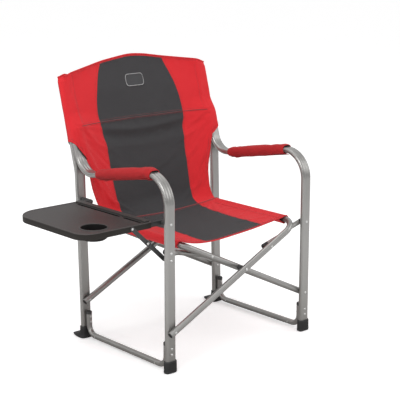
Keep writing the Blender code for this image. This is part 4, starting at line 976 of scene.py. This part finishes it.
def surface_line(P, N, points_2d, lift=BACK_T / 2, plane="xz"):
    """Points and normals on the front skin above (x, z) or (x, y) places."""
    R, C, _ = P.shape
    verts = [Vector(p) for p in P.reshape(-1, 3)]
    quads = [(i * C + j, i * C + j + 1, (i + 1) * C + j + 1, (i + 1) * C + j) for i in range(R - 1) for j in range(C - 1)]
    tree = BVHTree.FromPolygons(verts, quads)
    out, nor = [], []
    for a, b in points_2d:
        if plane == "xz":
            hit = tree.ray_cast(Vector((a, -1.0, b)), Vector((0, 1, 0)))
            up = Vector((0, -1, 0))
        else:
            hit = tree.ray_cast(Vector((a, b, 2.0)), Vector((0, 0, -1)))
            up = Vector((0, 0, 1))
        if hit[0] is None:
            continue
        n = hit[1] if hit[1].dot(up) > 0 else -hit[1]
        out.append(hit[0] + n * lift)
        nor.append(n)
    return out, nor


BACK_MATS = [RED, GREY, RED_TRIM, RED_THREAD, DARK_THREAD]
bm = sheet(upper, N_up, BACK_T, upper_mat)
# bound top edge
line = [Vector(upper[-1, j]) + Vector((0, 0, 0.0006)) for j in range(0, upper.shape[1])]
cord(bm, line, (0, 1, 0), 0.0026, 2, 10)
# stitching: under the top edge, beside the panel seams, above the cross seam, beside the sleeves
for drop, inset in ((0.0058, 0.0),):
    pts, nor = surface_line(upper, N_up, [(x, top_z(x) - drop) for x in np.linspace(-0.262, 0.262, 110)])
    dashes(bm, pts, nor, 3)
for s in (-1, 1):
    col = SIDE if s < 0 else SIDE + MIDDLE
    seam = [Vector(upper[i, col]) + Vector(N_up[i, col]) * (BACK_T / 2) for i in range(upper.shape[0])]
    cord(bm, [p - Vector(N_up[i, col]) * 0.0004 for i, p in enumerate(seam)], (0, 1, 0), 0.0009, 2, 8)
    zs = np.linspace(0.685, 0.853, 64)
    pts, nor = surface_line(upper, N_up, [(s * (panel_x(z) + 0.0045), z) for z in zs])
    dashes(bm, pts, nor, 3)
    for off in (0.2545,):
        pts, nor = surface_line(upper, N_up, [(s * off, z) for z in np.linspace(0.684, 0.832, 64)])
        dashes(bm, pts, nor, 3)
pts, nor = surface_line(upper, N_up, [(x, SEAM_Z + 0.0042) for x in np.linspace(-0.255, 0.255, 120)])
dashes(bm, pts, nor, 3)
back_up = make("back_cloth_upper", bm, BACK_MATS, None, ("back_left", "back_right"), 62, weld=False)
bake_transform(back_up)

# lower back: two halves, each riding on its side's back body as the chair folds
centre = SIDE + MIDDLE // 2
SPLIT = 61  # the rows from here down turn forward into the seat
for s, side in SIDES:
    cols = slice(0, centre + 1) if s < 0 else slice(centre, None)
    P, N = lower[:SPLIT + 1, cols], N_low[:SPLIT + 1, cols]
    first = 0 if s < 0 else centre
    U = np.linalg.norm(np.diff(lower, axis=1), axis=2).cumsum(1)
    U = np.concatenate([np.zeros((lower.shape[0], 1)), U], 1)
    U -= U[:, centre:centre + 1]
    V = np.concatenate([[0.0], np.linalg.norm(np.diff(lower[:, centre], axis=0), axis=1).cumsum()])
    V = -np.repeat(V[:, None], lower.shape[1], axis=1)
    bm = sheet(P, N, BACK_T, lambda i, j: panel_mat(i, j + first), uv_origin=(U[:SPLIT + 1, cols], V[:SPLIT + 1, cols]))
    xs = np.linspace(0.0, 0.255, 60)
    # the cross seam is a welt of turned cloth with a stitch row under it
    line, nor = surface_line(lower, N_low, [(s * x, SEAM_Z - 0.0012) for x in np.linspace(0.0005, 0.262, 50)])
    cord(bm, [p + n * 0.0002 for p, n in zip(line, nor)], (0, 1, 0), 0.0011, 4, 8)
    pts, nor = surface_line(lower, N_low, [(s * x, SEAM_Z - 0.0050) for x in np.linspace(0.0005, 0.255, 60)])
    dashes(bm, pts, nor, 3)
    col = SIDE if s < 0 else SIDE + MIDDLE
    seam = [Vector(lower[i, col]) + Vector(N_low[i, col]) * (BACK_T / 2 - 0.0004) for i in range(SPLIT + 1)]
    cord(bm, seam, (0, 1, 0), 0.0009, 2, 8)
    pts, nor = surface_line(lower, N_low, [(s * (panel_x(z) + 0.0045), z) for z in np.linspace(0.674, 0.4415, 90)])
    dashes(bm, pts, nor, 3)
    # bound free edge beside the seat
    col = 0 if s < 0 else lower.shape[1] - 1
    rows = [i for i, z in enumerate(rows_low) if z < 0.622 and i <= SPLIT]
    cord(bm, [Vector(lower[i, col]) for i in rows], (0, 1, 0), 0.0021, 2, 10)
    pts, nor = surface_line(lower, N_low, [(s * (edge_x(s, z) - 0.0085), z) for z in np.linspace(0.585, 0.4415, 56)])
    dashes(bm, pts, nor, 3)
    half = make(f"back_cloth_lower_{side}", bm, BACK_MATS, f"back_{side}", (), 62, weld=False)
    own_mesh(half)
bm = sheet(lower[SPLIT:], N_low[SPLIT:], BACK_T, panel_mat, uv_origin=(U[SPLIT:], V[SPLIT:]))
for s in (-1, 1):
    col = SIDE if s < 0 else SIDE + MIDDLE
    cord(bm, [Vector(lower[i, col]) + Vector(N_low[i, col]) * (BACK_T / 2 - 0.0004) for i in range(SPLIT, lower.shape[0])], (0, 1, 0), 0.0009, 2, 8)
    cord(bm, [Vector(lower[i, 0 if s < 0 else -1]) for i in range(SPLIT, lower.shape[0])], (0, 1, 0), 0.0021, 2, 10)
    pts, nor = surface_line(lower, N_low, [(s * (panel_x(z) + 0.0045), z) for z in np.linspace(0.4385, 0.404, 15)])
    dashes(bm, pts, nor, 3)
heel = make("back_cloth_heel", bm, BACK_MATS, None, (), 62, weld=False)
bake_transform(heel)


# sleeves round the posts and the ends of the arm tubes
def sleeve_rings(s, inner=False):
    rings = []
    grow = -0.0013 if inner else 0.0
    levels = np.linspace(0.0, 1.0, 46)
    for v in levels:
        ring = []
        for a, b in oval(0.0425 + 2 * grow, 0.0240 + 2 * grow, 9, 7):
            x = s * HALF_W + a
            inward = min(max((0.303 - abs(x)) / 0.041, 0.0), 1.0)
            bottom = 0.6330 - 0.059 * inward if s < 0 else 0.6250 - 0.029 * inward
            z = bottom + v * (top_z(x) - 0.0004 - 0.0052 * smooth(0.279, 0.262, abs(x)) - bottom)
            deep = (1 - smooth(0.668, 0.722, z))
            taper = 1 - 0.84 * smooth(0.925, 1.0, v)
            y = b * taper
            if b < 0:
                y -= (0.0170 * deep + 0.0045 * smooth(0.604, 0.574, z)) * min(1.0, -b / (0.0100 + grow))
            flare = 1 + 0.02 * smooth(0.06, 0.0, v)
            wob = 0.0009 * noise.noise(Vector((x * 45, z * 26, 4.0 * s + (1 if b > 0 else 0))))
            wob += 0.0014 * noise.noise(Vector((x * 12, z * 15, 7.0 * s))) * (1 if b > 0 else 0.6)
            ring.append((s * HALF_W + a * flare, back_plane(z) + y * flare + wob, z))
        rings.append(ring)
    return rings


for s, side in SIDES:
    outer_rings, inner_rings = sleeve_rings(s), sleeve_rings(s, True)
    depth = 22
    # painted shade: the sleeve's inner rings take the near-black material
    bm = skin(inner_rings[:depth][::-1] + outer_rings, True, [1] * depth + [0] * 60)
    # top binding carries on from the panel's
    line = [Vector((s * x, back_plane(top_z(s * x)) - 0.0003, top_z(s * x) + 0.0006 - 0.0058 * smooth(0.279, 0.262, x))) for x in np.linspace(0.262, 0.3035, 18)]
    cord(bm, line, (0, 1, 0), 0.0026, 2, 10)
    # bottom hem and its stitches, with the outer side seam
    hem = [Vector(p) for p in outer_rings[1]]
    centre_point = sum(hem, Vector()) / len(hem)
    pts = hem + hem[:1]
    nor = [(p - centre_point).normalized() for p in pts]
    dashes(bm, [p + n * 0.0006 + Vector((0, 0, 0.005)) for p, n in zip(pts, nor)], nor, 3)
    k_out = min(range(len(outer_rings[0])), key=lambda k: -s * outer_rings[0][k][0])
    line = [Vector(r[k_out]) for r in outer_rings[1:-3]]
    dashes(bm, [p + Vector((s * 0.0003, 0, 0)) for p in line], [Vector((s, 0, 0))] * len(line), 3)
    make(f"back_sleeve_{side}", bm, [RED, FOAM_AND_INNER_SHADE, RED_TRIM, RED_THREAD], f"frame_{side}", (), 62, weld=False)

# plain stitched patch on the upper back
w, h, corner = 0.0385, 0.0195, 0.0110


def patch_outline(k):
    pts = []
    for cx, cz, a0 in ((w - corner, h - corner, 0), (-w + corner, h - corner, 90), (-w + corner, -h + corner, 180), (w - corner, -h + corner, 270)):
        for t in range(9):
            a = math.radians(a0 + 90 * t / 8)
            pts.append((0.002 + (cx + corner * math.cos(a)) * k, 0.7960 + (cz + corner * math.sin(a)) * k))
    return pts


rings = []
for k, lift in ((1.0, -0.0004), (1.0, 0.0005), (0.975, 0.0009), (0.90, 0.0009), (0.6, 0.0009), (0.3, 0.0009), (0.02, 0.0009)):
    pts, nor = surface_line(upper, N_up, patch_outline(k), BACK_T / 2 + lift)
    rings.append(pts)
bm = skin(rings)
layer = bm.loops.layers.uv["UVMap"]
for face in bm.faces:
    for loop in face.loops:
        loop[layer].uv = (loop.vert.co.x, loop.vert.co.z)
border, nor = surface_line(upper, N_up, patch_outline(0.945) + patch_outline(0.945)[:1], BACK_T / 2 + 0.0008)
dashes(bm, border, nor, 1, 0.0024, 0.0003, 0.0011)
patch = make("back_patch", bm, [PATCH, GREY_THREAD], None, (), 62, weld=False)
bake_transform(patch)

# ------------------------------------------------------------ seat cloth
SEAT_T = 0.0020
R_WRAP = 0.0118


def seat_edge(y):
    return float(np.interp(y, (-0.187, -0.100, 0.0, 0.100, 0.150), (0.1185, 0.1255, 0.133, 0.140, 0.148)))


def seat_z(x, y):
    q = min(abs(x) / RAIL_X, 1.0)
    sag = 0.0150 * (1 - 0.22 * (y / 0.18) ** 2) * (1 - q ** 2.3)
    sag += smooth(-0.03, -0.18, y) * (0.0030 - 0.048 * x) * (1 - q ** 4)
    z = Z_SEAT + R_WRAP - sag
    z += 0.0016 * noise.noise(Vector((x * 10.0, y * 9.0, 1.3))) * (1 - q ** 6)
    for s in (-1, 1):
        k = s * x
        for a, b, w, h in (((0.215, 0.150), (0.060, 0.060), 0.0085, 0.0026), ((0.222, -0.150), (0.080, -0.080), 0.0080, 0.0022),
                           ((0.220, 0.080), (0.090, 0.020), 0.0075, 0.0016), ((0.218, -0.040), (0.110, -0.050), 0.0070, 0.0014),
                           ((0.200, 0.148), (0.140, 0.050), 0.0070, 0.0020)):
            z += crease(k, y, a, b, w, h * (1 - q ** 8))
    return z


seat_rows = np.linspace(0.0, 1.0, 84)
seat = []
for v in seat_rows:
    row = []
    for s, wrap in ((-1, True), (0, False), (1, True)):
        front = lambda x: -0.1880 + 0.0100 * smooth(-0.10, 0.226, x) - 0.0020 * math.cos(math.pi * x / 0.452)
        place = lambda x: front(x) + v * (0.1500 - front(x))
        if s:
            angles = np.radians(np.linspace(-58, 90, 13)[:-1])
            arc = []
            for a in angles:
                x = s * (RAIL_X + R_WRAP * math.cos(a))
                arc.append((x, place(x), Z_SEAT + R_WRAP * math.sin(a)))
            row += arc if s < 0 else arc[::-1]
        else:
            y_mid = place(0.0)
            e = seat_edge(y_mid)
            xs = np.concatenate([np.linspace(-RAIL_X, -e, 19)[:-1], np.linspace(-e, e, 45), np.linspace(e, RAIL_X, 19)[1:]])
            row += [(x, place(x), seat_z(x, place(x))) for x in xs]
    seat.append(row)
seat = np.array(seat)
WRAP, S_SIDE, S_MID = 12, 18, 44
pin = np.zeros(seat.shape[:2], bool)
pin[:, :WRAP + 2] = pin[:, -WRAP - 2:] = True
pin[-1, :] = True
seat = simulate(seat, pin, gravity=0.8, slack=0.010, cap=0.0050, frames=20)
N_seat = normals(seat, (0, 0, 1))
lo_col, hi_col = WRAP + S_SIDE, WRAP + S_SIDE + S_MID
bm = sheet(seat, N_seat, SEAT_T, lambda i, j: 1 if lo_col <= j < hi_col else 0)
inner = list(range(WRAP - 1, seat.shape[1] - WRAP + 1))
cord(bm, [Vector(seat[0, j]) for j in range(2, seat.shape[1] - 2)], (0, 0, 1), 0.0022, 2, 10)
cord(bm, [Vector(seat[-1, j]) + Vector((0, 0.0005, 0.0010)) for j in range(2, seat.shape[1] - 2)], (0, 0, 1), 0.0019, 3, 10)
for off in (0.0060, 0.0105):
    pts, nor = surface_line(seat, N_seat, [(x, -0.1880 + 0.0100 * smooth(-0.10, 0.226, x) - 0.002 * math.cos(math.pi * x / 0.452) + off) for x in np.linspace(-0.222, 0.222, 110)],
                            SEAT_T / 2, "xy")
    dashes(bm, pts, nor, 3)
pts, nor = surface_line(seat, N_seat, [(x, 0.1440) for x in np.linspace(-0.222, 0.222, 110)], SEAT_T / 2, "xy")
dashes(bm, pts, nor, 3)
for s in (-1, 1):
    col = lo_col if s < 0 else hi_col
    cord(bm, [Vector(seat[i, col]) + Vector(N_seat[i, col]) * (SEAT_T / 2 - 0.0004) for i in range(seat.shape[0])], (0, 0, 1), 0.0009, 2, 8)
    ys = np.linspace(-0.180, 0.146, 100)
    pts, nor = surface_line(seat, N_seat, [(s * (seat_edge(y) + 0.0045), y) for y in ys], SEAT_T / 2, "xy")
    dashes(bm, pts, nor, 3)
    pts, nor = surface_line(seat, N_seat, [(s * 0.1985, y) for y in ys], SEAT_T / 2, "xy")
    dashes(bm, pts, nor, 3)
seat_cloth = make("seat_cloth", bm, [RED, GREY, RED_TRIM, RED_THREAD], None, ("seat_left", "seat_right"), 62, weld=False)
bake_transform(seat_cloth)

# under layer of each seat sleeve: comes round the rail and is sewn to the cloth inside it
for s, side in SIDES:
    y0 = -0.150 if s < 0 else -0.172
    P = []
    for y in np.linspace(y0, 0.150, 50):
        hang = 0.0030 + 0.0012 * noise.noise(Vector((2.0 * s, y * 14, 0.5)))
        row = []
        for a in np.radians(np.linspace(-56, -140, 12)):
            r = R_WRAP + hang * math.sin(-a) ** 2 * smooth(-56, -90, math.degrees(a))
            row.append((s * (RAIL_X + r * math.cos(a)), y, Z_SEAT + r * math.sin(a)))
        last = row[-1]
        tip = (s * 0.1960, y, seat_z(s * 0.196, y) - 0.0024)
        for t in np.linspace(0, 1, 12)[1:]:
            bow = 0.0012 * math.sin(math.pi * t)
            row.append(tuple(last[k] + (tip[k] - last[k]) * t - (bow if k == 2 else 0) for k in range(3)))
        P.append(row)
    P = np.array(P)
    N = normals(P, (0, 0, -1))
    bm = sheet(P, N, 0.0012, lambda i, j: 0)
    cord(bm, [Vector(p) for p in P[0]], (0, 1, 0), 0.0013, 1, 8)
    cord(bm, [Vector(p) for p in P[-1]], (0, 1, 0), 0.0013, 1, 8)
    make(f"seat_sleeve_under_{side}", bm, [RED, RED_TRIM], f"seat_{side}", (), 62, weld=False)

# ------------------------------------------------------------ armrest pads
for s, side in SIDES:
    x = s * HALF_W
    path, _ = fillet(arm_corners(x), [ARM_BEND, ARM_REAR_BEND], 40)
    # points every 6 mm from the front of the pad to its rear
    pts = np.array([list(p) for p in path])
    along = np.concatenate([[0], np.linalg.norm(np.diff(pts, axis=0), axis=1).cumsum()])
    top = [k for k in range(len(pts)) if pts[k, 2] > 0.5]
    pad0, pad1 = (-0.140, 0.116) if s < 0 else (-0.122, 0.134)
    k0 = next(k for k in top if pts[k, 1] > pad0 - 0.001)
    s0 = np.interp(pad0, pts[k0 - 1:k0 + 1, 1], along[k0 - 1:k0 + 1])
    k1 = next(k for k in top if pts[k, 1] > pad1)
    s1 = np.interp(pad1, pts[k1 - 1:k1 + 1, 1], along[k1 - 1:k1 + 1])
    get = lambda d: Vector([np.interp(d, along, pts[:, k]) for k in range(3)])
    stations = np.linspace(s0, s1, 46)
    line = [get(d) for d in stations]
    shape = oval(0.0465, 0.0325, 12, 7)

    def outline(i):
        t = i / 45
        round_off = 1 - 0.10 * (smooth(0.05, 0.0, t) + smooth(0.95, 1.0, t))
        return [(a * round_off, b * round_off) for a, b in shape]

    rings = np.array([[list(p) for p in ring] for ring in rings_of(line, X_AXIS, outline)])
    base = rings.copy()
    for i in range(rings.shape[0]):
        for k in range(rings.shape[1]):
            p = Vector(rings[i, k])
            out = (p - line[i]).normalized()
            amount = 0.0005 * noise.noise(Vector((p.x * 60, p.y * 22, p.z * 60 + 5 * s))) + 0.0009 * noise.noise(Vector((p.x * 16, p.y * 11 + 3 * s, p.z * 16)))
            rings[i, k] += np.array(list(out)) * amount
    pin = np.zeros(rings.shape[:2], bool)
    pin[:2, :] = pin[-2:, :] = True
    rings = simulate(rings, pin, gravity=0.0, pressure=0.6, slack=0.010, cap=0.0012, frames=16, ring=True)
    ends = lambda i, k: [list(line[i] + (Vector(base[i, j]) - line[i]) * k) for j in range(base.shape[1])]
    d0, d1 = (line[0] - line[1]).normalized(), (line[-1] - line[-2]).normalized()
    lip0 = [[Vector(p) + d0 * dd for p in ends(0, k)] for k, dd in ((0.97, 0.0018), (0.90, 0.0022), (0.86, 0.0012))]
    lip1 = [[Vector(p) + d1 * dd for p in ends(-1, k)] for k, dd in ((0.97, 0.0018), (0.90, 0.0022), (0.86, 0.0012))]
    throat = lambda i, d, k: [line[i] + d * -0.0040 + X_AXIS * a + (rings_of(line, X_AXIS, shape)[i][0] - line[i]).normalized() * 0 for a, b in oval(TUBE_W + 0.001, TUBE_T + 0.001, 12, 7)]
    inner = rings_of(line, X_AXIS, oval(TUBE_W + 0.0010, TUBE_T + 0.0010, 12, 7))
    in0, in1 = [Vector(p) - d0 * 0.004 for p in inner[0]], [Vector(p) - d1 * 0.004 for p in inner[-1]]
    all_rings = [in0] + lip0[::-1] + [list(map(Vector, r)) for r in rings.tolist()] + lip1 + [in1]
    mats = [1] + [0] * 2 + [0] + [0] * (len(rings) - 1) + [0] + [0] * 2 + [1]
    bm = skin(all_rings, True, mats)
    # closure flap along the underside
    flap = []
    for d in np.linspace(s0 + 0.004, s1 - 0.004, 44):
        p, q = get(d), get(d + 1e-3)
        t = (q - p).normalized()
        down = t.cross(X_AXIS).normalized()
        if down.z > 0:
            down = -down
        row = []
        for a, drop in ((-0.0130, 0.0166), (-0.0060, 0.0170), (0.0010, 0.0172), (0.0080, 0.0178), (0.0115, 0.0186), (0.0138, 0.0200)):
            wave = 0.0010 * noise.noise(Vector((a * 30, d * 24, 2.0 * s))) + (0.0022 * smooth(s1 - 0.030, s1 - 0.004, d) if a > 0.005 else 0)
            row.append(list(p + X_AXIS * a + down * (drop + wave)))
        flap.append(row)
    flap = np.array(flap)
    N = normals(flap, (0, 0, -1))
    add_to(bm, sheet(flap, N, 0.0012, lambda i, j: 2))
    edge = [Vector(flap[i, 4]) + Vector(N[i, 4]) * 0.0006 for i in range(len(flap))]
    dashes(bm, edge, [Vector(v) for v in N[:, 4]], 3)
    make(f"armrest_sleeve_{side}", bm, [RED_PAD, FOAM_AND_INNER_SHADE, RED_PAD, RED_THREAD], f"frame_{side}", (f"armrest_pad_{side}",), 62, weld=False)

# ------------------------------------------------------------ stage, light and camera
n = Nodes("floor_paint")
obj_coord = n.put("ShaderNodeTexCoord").outputs["Object"]
white = n.mix(n.noise(obj_coord, 1.5), (0.93, 0.93, 0.93), (0.95, 0.95, 0.95))
# painted shade in the reflections: glossy rays see the floor darker close to the chair, which shades the tubes'
# undersides, while the camera sees it white
away = n.math("MULTIPLY", n.put("ShaderNodeVectorMath", {"Vector": obj_coord}, operation="LENGTH").outputs["Value"], 1 / 3)
reflected_floor_shade = n.ramp(away, ((0.14, (0.42, 0.41, 0.40)), (0.46, (0.95, 0.95, 0.95))))
n.set(Base_Color=n.mix(n.put("ShaderNodeLightPath").outputs["Is Glossy Ray"], white, reflected_floor_shade), Roughness=0.75, Specular_IOR_Level=0.2,
      Emission_Color=(1.0, 1.0, 1.0), Emission_Strength=n.math("MULTIPLY", n.put("ShaderNodeLightPath").outputs["Is Camera Ray"], 0.32))
floor_bm = bmesh.new()
bmesh.ops.create_grid(floor_bm, x_segments=8, y_segments=8, size=70.0)
floor = make("floor", floor_bm, n.mat, sharp=0)
floor.location.z = -0.0002

world = bpy.data.worlds.new("studio")
scene.world = world
world.use_nodes = True
tree = world.node_tree
tree.nodes.clear()
put = tree.nodes.new
out, plain, gloss, pick, path_node = put("ShaderNodeOutputWorld"), put("ShaderNodeBackground"), put("ShaderNodeBackground"), put("ShaderNodeMixShader"), put("ShaderNodeLightPath")
plain.inputs["Color"].default_value = (1.0, 1.0, 1.0, 1.0)
plain.inputs["Strength"].default_value = 0.72
coord, split, ramp = put("ShaderNodeTexCoord"), put("ShaderNodeSeparateXYZ"), put("ShaderNodeValToRGB")
wave = put("ShaderNodeTexNoise")
wave.inputs["Scale"].default_value = 1.6
add = put("ShaderNodeMath")
add.operation = "MULTIPLY_ADD"
add.inputs[1].default_value = 0.45
tree.links.new(coord.outputs["Generated"], split.inputs[0])
tree.links.new(coord.outputs["Generated"], wave.inputs["Vector"])
tree.links.new(wave.outputs["Fac"], add.inputs[0])
tree.links.new(split.outputs[2], add.inputs[2])
stops = ((0.0, 0.55), (0.18, 0.22), (0.38, 0.30), (0.52, 0.95), (0.72, 1.30), (1.0, 0.75))
while len(ramp.color_ramp.elements) < len(stops):
    ramp.color_ramp.elements.new(0.5)
for element, (at_, value) in zip(ramp.color_ramp.elements, stops):
    element.position, element.color = at_, (value, value, value, 1.0)
tree.links.new(add.outputs[0], ramp.inputs["Fac"])
tree.links.new(ramp.outputs["Color"], gloss.inputs["Color"])
gloss.inputs["Strength"].default_value = 0.78
tree.links.new(path_node.outputs["Is Glossy Ray"], pick.inputs[0])
tree.links.new(plain.outputs[0], pick.inputs[1])
tree.links.new(gloss.outputs[0], pick.inputs[2])
tree.links.new(pick.outputs[0], out.inputs["Surface"])


def area(name, at, aim, size, power, size_y=None):
    light = bpy.data.lights.new(name, "AREA")
    light.shape = "RECTANGLE"
    light.size, light.size_y, light.energy = size, size_y or size, power
    obj = bpy.data.objects.new(name, light)
    scene.collection.objects.link(obj)
    obj.location = Vector(at)
    obj.rotation_mode = "QUATERNION"
    obj.rotation_quaternion = (Vector(aim) - Vector(at)).to_track_quat("-Z", "Y")


area("key", (-1.9, -1.6, 2.9), (0.1, 0, 0.45), 1.9, 46.0)
area("fill", (2.6, -1.8, 1.9), (0.1, 0, 0.4), 1.8, 14.0)
area("top", (0.2, 0.4, 3.4), (0.1, 0, 0.3), 2.2, 18.0)
area("strip", (-3.0, 0.6, 1.2), (0, 0, 0.4), 0.5, 10.0, 2.2)

cam = bpy.data.cameras.new("camera")
cam.sensor_width, cam.lens = 36.0, 1182 * 36 / 400
cam.clip_start, cam.clip_end = 0.05, 400.0
camera = bpy.data.objects.new("camera", cam)
scene.collection.objects.link(camera)
camera.location = (-2.27215, -2.77278, 1.2952)
camera.rotation_mode = "QUATERNION"
camera.rotation_quaternion = Vector((0.64594, 0.72860, -0.22797)).to_track_quat("-Z", "Y")
scene.camera = camera
scene.view_settings.view_transform = "Standard"
scene.view_settings.look = "None"
